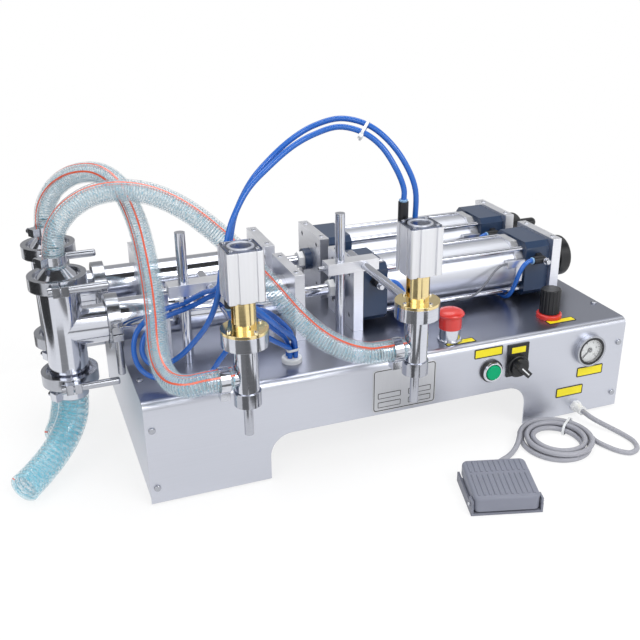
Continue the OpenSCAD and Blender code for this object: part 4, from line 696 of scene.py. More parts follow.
def added(primitive, **settings):
    bpy.ops.object.select_all(action="DESELECT")
    primitive(**settings)
    return bpy.context.object


def pick(piece, test, kind="FACE"):
    enter("EDIT")
    bpy.ops.mesh.select_mode(type=kind)
    bpy.ops.mesh.select_all(action="DESELECT")
    enter("OBJECT")
    mesh = piece.data
    if kind == "FACE":
        for face in mesh.polygons:
            face.select = bool(test(face.center / MM, face.normal))
    else:
        for edge in mesh.edges:
            start, end = (mesh.vertices[i].co / MM for i in edge.vertices)
            edge.select = bool(test((start + end) / 2, (end - start).normalized()))
    enter("EDIT")


def ink(piece, index):
    enter("OBJECT")
    for face in piece.data.polygons:
        if face.select:
            face.material_index = index
    enter("EDIT")


def settle(piece):
    enter("OBJECT")
    bpy.ops.object.select_all(action="DESELECT")
    piece.select_set(True)
    bpy.context.view_layer.objects.active = piece
    bpy.ops.object.transform_apply(location=True, rotation=True, scale=True)


print("faces and edges can be picked")

# %% [markdown]
# The next helpers make and change a piece: a block at its size and place, edges rounded by a bevel, a
# modifier put on and applied, a cut by another piece, and smooth shading up to an angle.

# %% Helpers that make and change a piece
def block(size, at):
    piece = added(bpy.ops.mesh.primitive_cube_add, size=1, location=Vector(at) * MM,
                  scale=Vector(size) * MM)
    settle(piece)
    return piece


def rounded(piece, test, radius, segments=4):
    pick(piece, test, "EDGE")
    bpy.ops.mesh.bevel(offset=radius * MM, segments=segments, affect="EDGES")


def modified(piece, kind, **settings):
    bpy.context.view_layer.objects.active = piece
    change = piece.modifiers.new(kind.lower(), kind)
    for key, value in settings.items():
        setattr(change, key, value)
    bpy.ops.object.modifier_apply(modifier=change.name)


def cut_by(piece, cutter):
    modified(piece, "BOOLEAN", object=cutter)
    bpy.data.objects.remove(cutter)


def smoothed(piece, angle):
    settle(piece)
    bpy.ops.object.shade_smooth_by_angle(angle=radians(angle))
    return piece


print("pieces can be rounded and cut")

# %% [markdown]
# Last come the helpers that close a piece: a finished piece gets its name, its materials and the body
# that it rides on. What repeats is modelled once and copied, each copy with its own mesh, and the
# copies are joined.

# %% Helpers that name, join and repeat
def finished(piece, name, body, slot, *materials):
    enter("OBJECT")
    piece.name = name
    piece.data.name = name
    painted(piece, *materials)
    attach(piece, body)
    return piece


def joined(pieces):
    bpy.context.view_layer.objects.active = pieces[0]
    enter("OBJECT")
    bpy.ops.object.select_all(action="DESELECT")
    for piece in pieces:
        piece.select_set(True)
    bpy.ops.object.join()
    return pieces[0]


def repeated(piece, moves):
    copies = []
    for move in moves:
        twin = bpy.data.objects.new(piece.name, piece.data.copy())
        bpy.context.scene.collection.objects.link(twin)
        twin.data.transform(move)
        copies.append(twin)
    bpy.data.objects.remove(piece)
    return joined(copies)


def shifted(x, y, z):
    return Matrix.Translation(Vector((x, y, z)) * MM)


print("ready to model trim")

# %% [markdown]
# Round trim is turned, as on a lathe: start from a disc or a ring of edges, extrude it a step along the
# axis, scale it to the next radius, and go on along the profile. A profile that comes back to its start
# makes a ring.

# %% A turning helper
JOIN_WITHIN = 0.005 * MM
FINE, MEDIUM, COARSE = 64, 56, 28
UP, OUT = (0, 0, 1), (0, -1, 0)


def turned(profile, at, axis, sides, sharp=35):
    radius, height = profile[0]
    ring = profile[0] == profile[-1]
    piece = added(bpy.ops.mesh.primitive_circle_add, vertices=sides, radius=radius * MM,
                  location=(0, 0, height * MM), fill_type="NOTHING" if ring else "NGON")
    settle(piece)
    enter("EDIT")
    bpy.ops.mesh.select_mode(type="EDGE" if ring else "FACE")
    bpy.ops.mesh.select_all(action="SELECT")
    for next_radius, next_height in profile[1:]:
        rise = (0, 0, (next_height - height) * MM)
        grow = next_radius / radius
        bpy.ops.mesh.extrude_region_move(TRANSFORM_OT_translate={"value": rise})
        bpy.ops.transform.resize(value=(grow, grow, 1), center_override=(0, 0, 0))
        radius, height = next_radius, next_height
    bpy.ops.mesh.select_all(action="SELECT")
    bpy.ops.mesh.remove_doubles(threshold=JOIN_WITHIN)
    bpy.ops.mesh.normals_make_consistent(inside=False)
    enter("OBJECT")
    turn_to = Vector(axis).to_track_quat("Z", "Y").to_matrix().to_4x4()
    piece.matrix_world = Matrix.Translation(Vector(at) * MM) @ turn_to
    return smoothed(piece, sharp)


print("round trim can be turned")

# %% [markdown]
# The marker plates beside the controls are thin yellow films with a black rim. A film is a thin block:
# its corners are rounded by a bevel, its face is inset once, and the inside of the inset takes the
# second material. Where a film runs under a round collar it is cut by a boolean.

# %% Yellow films
FRONT = -167.5
HOLE_REACH = 4
ESTOP_AT, REGULATOR_AT = (70, -141), (225, -125)
FILM_T, FILM_CORNER, FILM_RIM = 0.4, 1.8, 1.5
YELLOW_FILM = plastic("yellow_film", rgb(0.92, 0.78, 0.006), 0.4, 600, 0.04, 0.0002)
BLACK_INK = plastic("black_ink", rgb(0.015, 0.014, 0.012), 0.45, 600, 0.04, 0.0002)
NYLON = plastic("white_nylon", rgb(0.82, 0.84, 0.86), 0.35, 600, 0.05, 0.0003)


def framed(piece, outward, corner, rim):
    faced = Vector(outward)
    rounded(piece, lambda place, way: abs(way.dot(faced)) > SQUARELY, corner)
    pick(piece, lambda place, way: way.dot(faced) > SQUARELY)
    bpy.ops.mesh.inset(thickness=rim * MM)
    ink(piece, 1)
    enter("OBJECT")


def film(size, at, outward):
    sheet = painted(block(size, at), BLACK_INK, YELLOW_FILM)
    framed(sheet, outward, FILM_CORNER, FILM_RIM)
    return sheet


def front_film(name, x, z, width, height, out=FRONT):
    sheet = film((width, FILM_T, height), (x, out - FILM_T / 2, z), OUT)
    finished(sheet, name, MACHINE, "white_plastic")


def top_film(name, x, y, width, depth, hole_at, hole_r):
    sheet = film((width, depth, FILM_T), (x, y, TOP + FILM_T / 2), UP)
    cut_by(sheet, turned([(hole_r, -HOLE_REACH), (hole_r, HOLE_REACH)], (*hole_at, TOP), UP, FINE))
    finished(sheet, name, MACHINE, "white_plastic")


front_film("button_film", 111, 117, 40, 13)
front_film("selector_film", 153, 114, 23, 11, FRONT - 2)
front_film("gauge_film", 266.5, 63, 40, 14)
front_film("gland_film", 238, 38, 41, 14)
top_film("estop_film", 78.5, -152, 41, 12, ESTOP_AT, 15.6)
top_film("regulator_film", 231, -143, 41, 12, REGULATOR_AT, 17.1)
print("six yellow films")

# %% [markdown]
# The plate on the front is thin aluminium with a dark outline and four framed fields. Two insets make
# the outline: the ring between them is inked, and the field inside goes back to metal.

# %% Front plate
PLATE_METAL = metal("front_plate_metal", rgb(0.66, 0.67, 0.70), 0.40, (700, 40, 40), 0.04)
PLATE_SIZE, PLATE_AT = (84, 0.5, 57), (-3, FRONT - 0.25, 92)
PLATE_CORNER, PLATE_RIM, PLATE_LINE = 5, 1.4, 1.1
FIELD_SIZE, FIELD_CORNER, FIELD_RIM = (30, 0.2, 7.5), 0.9, 0.8
plate = painted(block(PLATE_SIZE, PLATE_AT), PLATE_METAL, BLACK_INK)
framed(plate, OUT, PLATE_CORNER, PLATE_RIM)
enter("EDIT")
bpy.ops.mesh.inset(thickness=PLATE_LINE * MM)
ink(plate, 0)
finished(plate, "front_plate", MACHINE, "brushed_steel")
field = painted(block(FIELD_SIZE, (0, FRONT - 0.6, 0)), BLACK_INK, PLATE_METAL)
framed(field, OUT, FIELD_CORNER, FIELD_RIM)
fields = repeated(field, [shifted(x, 0, z) for x in (-23, 17) for z in (85, 73)])
finished(fields, "front_plate_fields", MACHINE, "brushed_steel")
print("front plate with four fields")

# %% [markdown]
# The gauge is a silver case with a dark throat, a white dial and a glass, all turned about one axis. The
# needle is a moving solid of its own and stays between dial and glass.

# %% Gauge
GAUGE = (261, FRONT, 94.5)
DIAL_WHITE = plastic("dial_white", rgb(0.80, 0.81, 0.82), 0.45, 400, 0.02, 0.0002)


def grey(level):
    return rgb(level, level, level)


GLASS = Finish("gauge_glass")
smear = GLASS.noise(40)
GLASS.set(Base_Color=GLASS.mix(smear, rgb(0.86, 0.92, 0.95), grey(1.0)),
          Roughness=0.03 + smear * 0.05, Alpha=0.10 + smear * 0.04)
DIAL = [(18.7, 1.55), (18.7, 1.75), (18.2, 1.9), (17.6, 1.75), (16, 1.75)]
THROAT = [(18.8, 2.0), (18.8, 6.6), (15.9, 6.6), (16.2, 5.6), (16.2, 2.0), (18.8, 2.0)]
WINDOW = [(15.8, 6.0), (15.8, 6.5), (13, 6.75), (8, 6.9), (1, 6.95)]
for name, profile, slot, material in (
        ("gauge_dial", DIAL, "white_plastic", DIAL_WHITE),
        ("gauge_throat", THROAT, "black_plastic", BLACK_PLASTIC),
        ("gauge_window", WINDOW, "clear_hose", GLASS.material)):
    finished(turned(profile, GAUGE, OUT, FINE), name, MACHINE, slot, material)
print("gauge dial, throat and window")

# %% [markdown]
# The scale runs over three quarters of a turn. Ticks are one small block copied round the dial, long
# ones at each step and short ones between.

# %% Ticks of the gauge
GAUGE_SPAN, GAUGE_TOP = 270, 10
TICK_R, TICK_T, TICK_OUT, TICK_TAPER = 15.6, 0.1, 1.85, 0.6


def lean(share):
    return radians(GAUGE_SPAN * (share - 0.5))


def round_dial(share):
    middle = Matrix.Translation(Vector(GAUGE) * MM)
    return middle @ Matrix.Rotation(lean(share), 4, "Y") @ middle.inverted()


def ticks(length, width, shares):
    spot = (GAUGE[0], FRONT - TICK_OUT, GAUGE[2] + TICK_R - length / 2)
    mark = block((width, TICK_T, length), spot)
    pick(mark, lambda place, way: way.z < -SQUARELY)
    bpy.ops.transform.resize(value=(TICK_TAPER, 1, 1))
    enter("OBJECT")
    return repeated(mark, [round_dial(share) for share in shares])


long_ticks = ticks(3.0, 0.7, [k / GAUGE_TOP for k in range(GAUGE_TOP + 1)])
short_ticks = ticks(1.6, 0.35, [(k + 0.5) / GAUGE_TOP for k in range(GAUGE_TOP)])
finished(joined([long_ticks, short_ticks]), "gauge_ticks", MACHINE, "black_plastic", BLACK_INK)
print("gauge with", GAUGE_TOP + 1, "long ticks")

# %% [markdown]
# The numbers are text turned into meshes. They stay upright and are centred on a smaller circle, every
# second one of the scale.

# %% Numbers on the gauge
NUMBER_R, NUMBER_SIZE, NUMBER_T, NUMBER_OUT = 10.6, 4.2, 0.05, 1.8
numbers = []
for number in range(0, GAUGE_TOP + 1, 2):
    across, up = NUMBER_R * sin(lean(number / GAUGE_TOP)), NUMBER_R * cos(lean(number / GAUGE_TOP))
    spot = Vector((GAUGE[0] + across, FRONT - NUMBER_OUT, GAUGE[2] + up)) * MM
    figure = added(bpy.ops.object.text_add, location=spot, rotation=(radians(90), 0, 0))
    figure.data.body = str(number)
    figure.data.size = NUMBER_SIZE * MM
    figure.data.extrude = NUMBER_T * MM
    figure.data.align_x = "CENTER"
    figure.data.align_y = "CENTER"
    bpy.ops.object.convert(target="MESH")
    settle(bpy.context.object)
    numbers.append(bpy.context.object)
finished(joined(numbers), "gauge_numbers", MACHINE, "black_plastic", BLACK_INK)
print("gauge with", len(numbers), "numbers")

# %% [markdown]
# The push button sits in a bright ring inside a black bezel. The emergency stop is a mushroom: a hollow
# skirt that slides over the chrome collar, a wide rim and a low dome. The selector's lever has a white
# line that shows where it points. Each rides on the body that moves it.

# %% Button ring, mushroom and pointer
BUTTON_AT = (116, FRONT, 91)
BUTTON_RING = [(9.9, 4.0), (13.4, 4.0), (13.4, 5.4), (12.4, 6.8), (10.8, 6.8), (9.9, 6.0), (9.9, 4.0)]
MUSHROOM = [
    (6.3, 17.2), (6.3, 22.4), (13.4, 22.4), (13.4, 16.9), (14.0, 16.9), (14.1, 30), (14.3, 32.6),
    (15.0, 33.8), (16.5, 34.6), (17, 35.4), (17, 36.1), (16.6, 36.8), (14.6, 38.9), (11, 40.7),
    (6, 41.6), (1, 41.8)]
button_ring = turned(BUTTON_RING, BUTTON_AT, OUT, MEDIUM)
finished(button_ring, "button_ring", MACHINE, "bright_steel", BRIGHT_STEEL)
mushroom = turned(MUSHROOM, (*ESTOP_AT, TOP), UP, MEDIUM, SOFT_ANGLE)
finished(mushroom, "estop_mushroom", "estop_head_body", "red_plastic", RED_PLASTIC)
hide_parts("estop_head")
POINTER_AT, POINTER_LEAN = (153, FRONT - 19.57, 92), 45
POINTER_SIZE, POINTER_FROM, POINTER_RIM, POINTER_RISE = (15, 0.5, 1.7), (1.5, 0, 0), 0.25, 0.2
pointer = block(POINTER_SIZE, POINTER_FROM)
pick(pointer, lambda place, way: way.y < -SQUARELY)
bpy.ops.mesh.inset(thickness=POINTER_RIM * MM)
bpy.ops.transform.translate(value=(0, -POINTER_RISE * MM, 0))
enter("OBJECT")
pointer.matrix_world = shifted(*POINTER_AT) @ Matrix.Rotation(radians(POINTER_LEAN), 4, "Y")
settle(pointer)
finished(pointer, "selector_pointer", "selector_lever_body", "white_plastic", NYLON)
print("button ring, mushroom and pointer")

# %% [markdown]
# Socket screws are everywhere on pneumatic work. One is turned with a rounded head, its top is sunk to
# make the socket, and the sunk faces take a near-black material, painted shade inside the socket. The
# rest are copies, joined into one piece for each place.

# %% Socket screws
# A near-black material that paints the shade inside a screw's socket.
SOCKET_PAINTED_SHADE = plastic("socket_shadow", rgb(0.02, 0.02, 0.022), 0.6)
SCREW_SIDES, SCREW_EASE, SOCKET_SHARE, SOCKET_DEEP, SOCKET_MIDDLE = 18, 0.4, 0.55, 0.7, 0.2


def socket_screw(head_r, head_h):
    profile = [(head_r, -SCREW_EASE), (head_r, head_h - SCREW_EASE), (head_r - SCREW_EASE, head_h),
               (head_r * SOCKET_SHARE, head_h)]
    screw = painted(turned(profile, (0, 0, 0), UP, SCREW_SIDES), BRIGHT_STEEL, SOCKET_PAINTED_SHADE)
    pick(screw, lambda place, way: way.z > SQUARELY and place.xy.length < head_r * SOCKET_MIDDLE)
    sink = (0, 0, -SOCKET_DEEP * head_h * MM)
    bpy.ops.mesh.extrude_region_move(TRANSFORM_OT_translate={"value": sink})
    # The sunk faces get the painted shade of the socket's recess.
    ink(screw, 1)
    enter("OBJECT")
    return screw


def screws(name, spots, head_r, head_h):
    heads = repeated(socket_screw(head_r, head_h), [shifted(*spot) for spot in spots])
    finished(heads, name, MACHINE, "bright_steel")
    print(name, len(spots))


UNITS = (-31, 87)
NOZZLES = ((-215, -232.5), (-23.5, -232.5))
PLATE_TOP, DISC_TOP, ACTUATOR_TOP = 216, 232.5, 316.5
PLATES_X, PLATE_BOLT_Y = (-267.5, -101.5, -24.5, 263.5), 31
DISC_BOLT_R, DISC_BOLTS = 19.2, [radians(a) for a in (20, 110, 200, 290)]
screws("plate_screws", [(x, y + side, PLATE_TOP) for x in PLATES_X for y in UNITS
                        for side in (-PLATE_BOLT_Y, PLATE_BOLT_Y)], 3.2, 1.0)
screws("disc_screws", [(x + DISC_BOLT_R * cos(a), y + DISC_BOLT_R * sin(a), DISC_TOP)
                       for x, y in NOZZLES for a in DISC_BOLTS], 2.4, 1.8)

# %% [markdown]
# Each nozzle's compact cylinder is closed by a dark end plate with a raised ring and four screws. The
# plate is a block with rounded corners whose face is inset and sunk a little.

# %% Cylinder end plates
END_PLATE = metal("end_plate_metal", rgb(0.17, 0.19, 0.25), 0.26, 200, 0.06)
END_RING = [
    (10.5, 0.6), (13.5, 0.6), (13.5, 1.6), (13, 2.1), (11, 2.1), (10.5, 1.6), (10.5, 0.6)]
END_W, END_T, END_CORNER, END_RIM, END_SUNK, END_BOLT = 35, 1.4, 4, 1.2, 0.5, 13.2
end_plate = painted(block((END_W, END_W, END_T), (0, 0, ACTUATOR_TOP + END_T / 2)), END_PLATE)
rounded(end_plate, lambda place, way: abs(way.z) > SQUARELY, END_CORNER)
pick(end_plate, lambda place, way: way.z > SQUARELY)
bpy.ops.mesh.inset(thickness=END_RIM * MM)
bpy.ops.transform.translate(value=(0, 0, -END_SUNK * MM))
enter("OBJECT")
end_ring = painted(turned(END_RING, (0, 0, ACTUATOR_TOP), UP, 48), BARREL_METAL)
plates = repeated(joined([end_plate, end_ring]), [shifted(x, y, 0) for x, y in NOZZLES])
finished(plates, "cylinder_end_plates", MACHINE, "cap_metal")
corners = [(across, deep) for across in (-END_BOLT, END_BOLT) for deep in (-END_BOLT, END_BOLT)]
screws("end_plate_screws", [(x + across, y + deep, ACTUATOR_TOP + END_T - END_SUNK) for x, y in NOZZLES
                            for across, deep in corners], 2.3, 1.2)

# %% [markdown]
# A push-in fitting lets its tube go when a small collar is pressed, and the collar is pale blue. It is
# a ring with a flange, turned once for each direction in which a fitting faces. The fittings on the
# cylinder caps also throttle the air, so each carries a bright adjusting screw with a lock nut on its
# outer end.

# %% Release collars and throttle screws
COLLAR_BLUE = plastic("collar_blue", rgb(0.30, 0.52, 0.80), 0.3, 500, 0.04, 0.0003)
COLLAR = [
    (3.2, 0.1), (4.0, 0.1), (4.0, 1.2), (4.7, 1.4), (4.7, 2.3), (4.3, 2.7), (3.2, 2.7), (3.2, 0.1)]
THROTTLE = [
    (2.6, -0.5), (2.6, 0.8), (4.3, 0.8), (4.6, 1.2), (4.6, 3.0), (4.3, 3.4), (2.6, 3.4), (2.6, 4.2),
    (3.4, 4.4), (3.4, 8.2), (3.0, 8.7), (1, 8.7)]
CAP_PORT_Z, THROTTLE_Y = 192, -85
DOWN, RIGHT, LEFT = (0, 0, -1), (1, 0, 0), (-1, 0, 0)
ports = [((-208, -206, 280), DOWN), ((-222, -206, 245), DOWN), ((-30.5, -206, 334), UP),
         ((-16.5, -206, 292), UP)]
for y in (-79.5, -79.5 + UNIT_PITCH):
    ports += [((14, y, CAP_PORT_Z), RIGHT), ((225, y, CAP_PORT_Z), LEFT)]
for y in (-18, -18 + UNIT_PITCH):
    ports += [((42, y, 135.5), OUT), ((200, y, 135.5), OUT)]
collars = joined([turned(COLLAR, at, way, COARSE) for at, way in ports])
finished(collars, "release_collars", MACHINE, "blue_tube", COLLAR_BLUE)
throttle_spots = [shifted(x, y, CAP_PORT_Z) for x in (-0.9, 239.9)
                  for y in (THROTTLE_Y, THROTTLE_Y + UNIT_PITCH)]
throttles = repeated(turned(THROTTLE, (0, 0, 0), OUT, 12, 25), throttle_spots)
finished(throttles, "throttle_screws", MACHINE, "bright_steel", BRIGHT_STEEL)
print("collars on", len(ports), "fittings, throttle screws on", len(throttle_spots))

# %% [markdown]
# Nylon ties hold the tubes together. A tie is an open cylinder pulled apart into a slot or a soft
# square, thickened outwards, with a small head and a cut tail, and its edges are eased by a bevel.

# %% A cable tie
TIE_W, TIE_T, TIE_EASE, TIE_PLAY = 3.2, 0.9, 0.25, 0.25 * MM
HEAD_SIZE, HEAD_OUT, TAIL_RIM, TAIL_LONG, TAIL_TAPER = (4.2, 5.0, 4.6), 2.2, 1.2, 5, 0.5
NEAR_MIDDLE = 0.05


def tie(name, spread, hold_r, middle, along, across, deep=0.0):
    band = added(bpy.ops.mesh.primitive_cylinder_add, vertices=32, radius=hold_r, depth=TIE_W * MM,
                 end_fill_type="NOTHING")
    beside = NEAR_MIDDLE * hold_r / MM
    for side in (-1, 1):
        pick(band, lambda place, way: side * place.x > beside, "EDGE")
        bpy.ops.transform.translate(value=(side * spread, 0, 0))
        pick(band, lambda place, way: side * place.y > beside, "EDGE")
        bpy.ops.transform.translate(value=(0, side * deep, 0))
    enter("OBJECT")
    modified(band, "SOLIDIFY", thickness=TIE_T * MM, offset=1)
    head = block(HEAD_SIZE, (0, 0, 0))
    pick(head, lambda place, way: way.y > SQUARELY)
    bpy.ops.mesh.inset(thickness=TAIL_RIM * MM)
    bpy.ops.mesh.extrude_region_move(TRANSFORM_OT_translate={"value": (0, TAIL_LONG * MM, 0)})
    bpy.ops.transform.resize(value=(TAIL_TAPER, 1, 1))
    enter("OBJECT")
    head.data.transform(Matrix.Translation((spread + hold_r + HEAD_OUT * MM, 0, 0)))
    band = joined([band, head])
    modified(band, "BEVEL", width=TIE_EASE * MM, segments=2, limit_method="ANGLE")
    across = (across - along * across.dot(along)).normalized()
    turn_to = Matrix((across, along.cross(across), along)).transposed().to_4x4()
    band.matrix_world = Matrix.Translation(middle) @ turn_to
    return finished(smoothed(band, SOFT_ANGLE), name, MACHINE, "white_plastic", NYLON)


print("ties are", TIE_W, "mm wide")

# %% [markdown]
# On the air tubes, a tie's place and direction come from the tubes that it holds: it looks for each
# tube's nearest point, stands square to their mean direction, and spreads as far as they are apart.

# %% Ties on the air tubes
def nearest(path, at):
    index = min(range(1, len(path) - 1), key=lambda i: (path[i] - at).length)
    return path[index], (path[index + 1] - path[index - 1]).normalized()


def tie_tubes(name, at, *tubes):
    spots = [nearest(AIR_PATHS[tube], Vector(at) * MM) for tube in tubes]
    along = sum((way for spot, way in spots), Vector()).normalized()
    middle = sum((spot for spot, way in spots), Vector()) / len(spots)
    offsets = [(spot - middle) - along * (spot - middle).dot(along) for spot, way in spots]
    across = max(offsets, key=lambda offset: offset.length)
    if len(spots) == 2:
        return tie(name, across.length, TUBE_R + TIE_PLAY, middle, along, across)
    half = across.length / sqrt(2)
    across = Matrix.Rotation(radians(45), 4, along) @ across
    return tie(name, half, TUBE_R + TIE_PLAY, middle, along, across, half)


tie_tubes("arch_tie", (-66, -181, 406), "arch_tube_outer", "arch_tube_inner")
tie_tubes("rod_tie", (-247, -95, 206), "arch_tube_outer", "arch_tube_inner")
tie_tubes("bundle_tie", (-130.5, -125, 147), *list(AIR_PATHS)[:4])
print("three ties on the tubes")

# %% [markdown]
# One more tie holds the loops of the coil. It is pressed flat underneath, where the coil lies on the
# floor, with its outside just above the floor and its inside a little higher.

# %% Tie on the coil
COIL_TIE_ANGLE, COIL_TIE_R, COIL_TIE_Z = radians(38), 38.5, 3.5
COIL_TIE_SPREAD, COIL_TIE_HOLD = 8.6 * MM, 6.95 * MM
OUTSIDE_LOW, INSIDE_LOW, BETWEEN_SKINS = 0.02 * MM, 0.1 * MM, -0.5 * MM
ring_way = Vector((cos(COIL_TIE_ANGLE), sin(COIL_TIE_ANGLE), 0))
round_way = Vector((-ring_way.y, ring_way.x, 0))
coil_middle = (COIL_AT + COIL_TIE_R * ring_way + Vector((0, 0, COIL_TIE_Z))) * MM
coil_tie = tie("coil_tie", COIL_TIE_SPREAD, COIL_TIE_HOLD, coil_middle, round_way, ring_way)
for corner in coil_tie.data.vertices:
    lowest = INSIDE_LOW if corner.co.z > BETWEEN_SKINS else OUTSIDE_LOW
    corner.co.z = max(corner.co.z, lowest)
print("a tie on the coil")

# %% [markdown]
# A small rubber ring seals each sensor cable where it enters the cabinet under its barrel.

# %% Sensor grommets
GROMMET = [(1.7, 0), (4.2, 0), (4.2, 0.6), (3.4, 1.5), (2.2, 1.5), (1.7, 1.0), (1.7, 0)]
grommets = joined([turned(GROMMET, (100.5, y - 0.5, TOP), UP, COARSE) for y in UNITS])
finished(grommets, "sensor_grommets", MACHINE, "black_plastic", BLACK_PLASTIC)
print("two grommets")

# %% [markdown]
# The pedal's treadle is a moulded cover with soft corners. A block gets its sloping top by lifting one
# edge, then its upright corners and its rim are rounded, the underside is opened, and a solidify gives
# the wall. Last, the hinge pin's hole is cut through both sides.

# %% Pedal treadle
TREAD_W, TREAD_NEAR, TREAD_FAR = 75, -35, 34
NEAR_TOP, FAR_TOP, NEAR_LOW, FAR_LOW = 22.4, 28.4, 5, 15
PEDAL_AT, PEDAL_TURN = (59, -292, 0), -16
TREAD_WALL, TREAD_CORNER, TREAD_EDGE = 2.2, 7, 3.2
PIN_R, PIN_HALF, PIN_AT = 2.4, 45, (0, -28, 11.5)
tread_d = TREAD_FAR - TREAD_NEAR
slope = (FAR_TOP - NEAR_TOP) / tread_d


def tread_top(y):
    return NEAR_TOP + slope * (y - TREAD_NEAR)


tread_middle = (0, (TREAD_NEAR + TREAD_FAR) / 2, (NEAR_TOP + NEAR_LOW) / 2)
tread = block((TREAD_W, tread_d, NEAR_TOP - NEAR_LOW), tread_middle)
for level, lift in ((NEAR_TOP, FAR_TOP - NEAR_TOP), (NEAR_LOW, FAR_LOW - NEAR_LOW)):
    pick(tread, lambda place, way: abs(way.x) > 0.9 and place.y > 0 and abs(place.z - level) < 1,
         "EDGE")
    bpy.ops.transform.translate(value=(0, 0, lift * MM))
rounded(tread, lambda place, way: abs(way.z) > 0.9, TREAD_CORNER, 5)
rounded(tread, lambda place, way: abs(place.z - tread_top(place.y)) < 0.3, TREAD_EDGE)
pick(tread, lambda place, way: way.z < -0.5)
bpy.ops.mesh.delete(type="FACE")
enter("OBJECT")
modified(tread, "SOLIDIFY", thickness=TREAD_WALL * MM, offset=-1)
cut_by(tread, turned([(PIN_R, -PIN_HALF), (PIN_R, PIN_HALF)], PIN_AT, RIGHT, 24))
print("cover with", len(tread.data.polygons), "faces")

# %% [markdown]
# The ribs are one small bar with a rounded top, copied across the cover in a long and a short group and
# tilted to its slope. Cover and ribs are joined, then turned to where the pedal lies.

# %% Treadle ribs
RIB_W, RIB_H, RIB_PITCH, RIBS = 2.8, 2.4, 6.2, range(-5, 6)


def ribs(start, end):
    middle = (start + end) / 2
    rib = block((RIB_W, end - start, RIB_H), (0, middle, 0))
    rounded(rib, lambda place, way: place.z > 1, 0.8, 3)
    enter("OBJECT")
    tilt = Matrix.Rotation(slope, 4, "X")
    seat = shifted(0, middle, tread_top(middle)) @ tilt @ shifted(0, -middle, 0)
    return repeated(rib, [shifted(RIB_PITCH * i, 0, 0) @ seat for i in RIBS])


tread = joined([tread, ribs(-30, 6), ribs(10.5, 30)])
tread.matrix_world = shifted(*PEDAL_AT) @ Matrix.Rotation(radians(PEDAL_TURN), 4, "Z")
smoothed(tread, SOFT_ANGLE)
finished(tread, "treadle_cover", "pedal_treadle_body", "pedal_plastic", PEDAL_GREY)
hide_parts("pedal_treadle")
print("treadle with", len(tread.data.polygons), "faces")

# %% [markdown]
# The room is a pale floor and a soft sky. Metal looks like what it reflects, so the sky is plain white
# to the camera and in reflections, while it lights the machine at an ordinary level. The floor glows a
# little to the camera, which leaves a faint shadow, and fades out with distance, so it meets the white
# sky without a line.

# %% Floor
FLOOR_SIZE, FLOOR_WHITE, GLOW = 30, 0.93, 0.78
FADE_FROM, FADE_TO = 0.5, 1.1
floor = added(bpy.ops.mesh.primitive_plane_add, size=1)
floor.name = "studio_floor"
enter("EDIT")
bpy.ops.mesh.select_all(action="SELECT")
bpy.ops.transform.resize(value=(FLOOR_SIZE, FLOOR_SIZE, 1))
enter("OBJECT")
paint = Finish("floor_paint")
reach = paint.node("VectorMath", {"operation": "LENGTH"}, {0: paint.place()}, "Value")
fade = paint.node("MapRange", None, {
    "Value": reach, "From Min": FADE_FROM, "From Max": FADE_TO, "To Min": 1.0, "To Max": 0.0})
shown = paint.ray("Camera").larger(paint.ray("Glossy"))
lit = paint.mix(shown, grey(FLOOR_WHITE), grey(FLOOR_WHITE * (1 - GLOW)))
glow = paint.mix(shown, grey(0), grey(GLOW))
painted(floor, paint.set(Base_Color=lit, Roughness=0.8, Alpha=fade, Emission_Color=glow,
                         Emission_Strength=1.0))
print("floor", FLOOR_SIZE, "m wide")

# %% [markdown]
# The sky is the world's background. It is full white to the camera, to mirrors and through the clear
# hoses, and weaker for everything that it only lights.

# %% Sky
SKY_LIGHT = 0.55
sky = Finish("studio_sky", "worlds", "Background")
bpy.context.scene.world = sky.material
shown = sky.ray("Camera").larger(sky.ray("Glossy")).larger(sky.ray("Transmission"))
sky.set(Color=grey(1.0), Strength=SKY_LIGHT + shown * (1 - SKY_LIGHT))
print("sky lights at", SKY_LIGHT)

# %% [markdown]
# In an all-white room polished steel looks like paper. Photographers hang dark cards round the object,
# just out of sight, and the metal gets its dark lines from them. These cards show in reflections only,
# so they take no light away and never come into a picture.

# %% Dark cards
def hung(panel, name, shade):
    paint = Finish(name)
    settle(panel)
    panel.name = name
    painted(panel, paint.set(Base_Color=grey(0), Roughness=1.0, Emission_Color=grey(shade),
                             Emission_Strength=1.0, Alpha=paint.ray("Glossy")))


def card(name, size, at, facing, shade):
    panel = added(bpy.ops.mesh.primitive_plane_add, size=1, location=at)
    panel.scale = (*size, 1)
    panel.rotation_euler = Vector(facing).to_track_quat("Z", "Y").to_euler()
    hung(panel, name, shade)


card("back_card", (6.0, 2.8), (0.4, 2.2, 1.45), (0, -1, 0), 0.46)
card("overhead_card", (5.0, 1.1), (0.3, -0.7, 1.9), (0, 0.3, -1), 0.03)
card("left_card", (0.57, 0.7), (-0.75, 0.085, 0.35), (1, 0, 0), 0.04)
card("behind_card", (0.80, 0.45), (-0.28, 0.47, 0.003), (0, 0, 1), 0.22)
print("four dark cards")

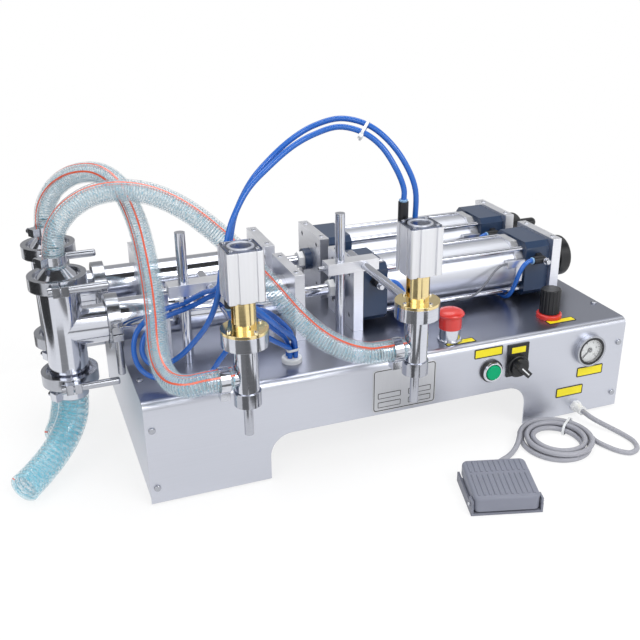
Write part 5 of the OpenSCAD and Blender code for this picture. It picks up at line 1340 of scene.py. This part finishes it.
# %% [markdown]
# A fan is a dark slice of a ring that lies level round an upright tube. Round metal sees it as an even
# stripe: the two angles set where the stripe falls and how wide it is, and the shade how dark.

# %% Dark fans
FAN_HEIGHT = 100


def fan(name, at, start, end, shade, near=0.06, far=0.45):
    panel = added(bpy.ops.mesh.primitive_circle_add, vertices=120, radius=near, fill_type="NOTHING")
    enter("EDIT")
    bpy.ops.mesh.select_mode(type="EDGE")
    bpy.ops.mesh.select_all(action="SELECT")
    bpy.ops.mesh.extrude_region_move()
    bpy.ops.transform.resize(value=(far / near, far / near, 1), center_override=(0, 0, 0))
    pick(panel, lambda place, way: not start < degrees(atan2(place.y, place.x)) < end)
    bpy.ops.mesh.delete(type="FACE")
    enter("OBJECT")
    panel.matrix_world = shifted(*at, FAN_HEIGHT)
    hung(panel, name, shade)


LEFT_NOZZLE, RIGHT_NOZZLE = NOZZLES
fan("left_nozzle_fan", LEFT_NOZZLE, -150, -100, 0.20)
fan("left_nozzle_line", LEFT_NOZZLE, -50, -40, 0.12)
fan("right_nozzle_fan", RIGHT_NOZZLE, -146, -116, 0.14)
fan("right_nozzle_line", RIGHT_NOZZLE, -83, -74, 0.12)
fan("tee_fan", (-377, UNITS[0]), -132, -96, 0.30, far=0.22)
print("five dark fans")

# %% [markdown]
# Three wide area lamps give the soft light of a product studio: a key from the right, a weaker fill
# from the left, and one above that lifts the flat tops. Their power is set so that white paint stays
# below white.

# %% Lamps
LAMPS = {
    "key_lamp": ((0.7, -2.1, 2.0), 1.6, 36),
    "fill_lamp": ((-1.8, -1.4, 1.6), 1.4, 14),
    "top_lamp": ((0.1, 0.4, 2.4), 1.8, 22)}
LAMPS_AIM = Vector((0.0, -0.05, 0.15))
for name, (spot, size, power) in LAMPS.items():
    bpy.ops.object.light_add(type="AREA", location=spot)
    lamp = bpy.context.object
    lamp.name = name
    lamp.data.size = size
    lamp.data.energy = power
    lamp.rotation_euler = (LAMPS_AIM - Vector(spot)).to_track_quat("-Z", "Y").to_euler()
bpy.context.scene.view_settings.view_transform = "Standard"
print("stage is lit by", len(LAMPS), "lamps")
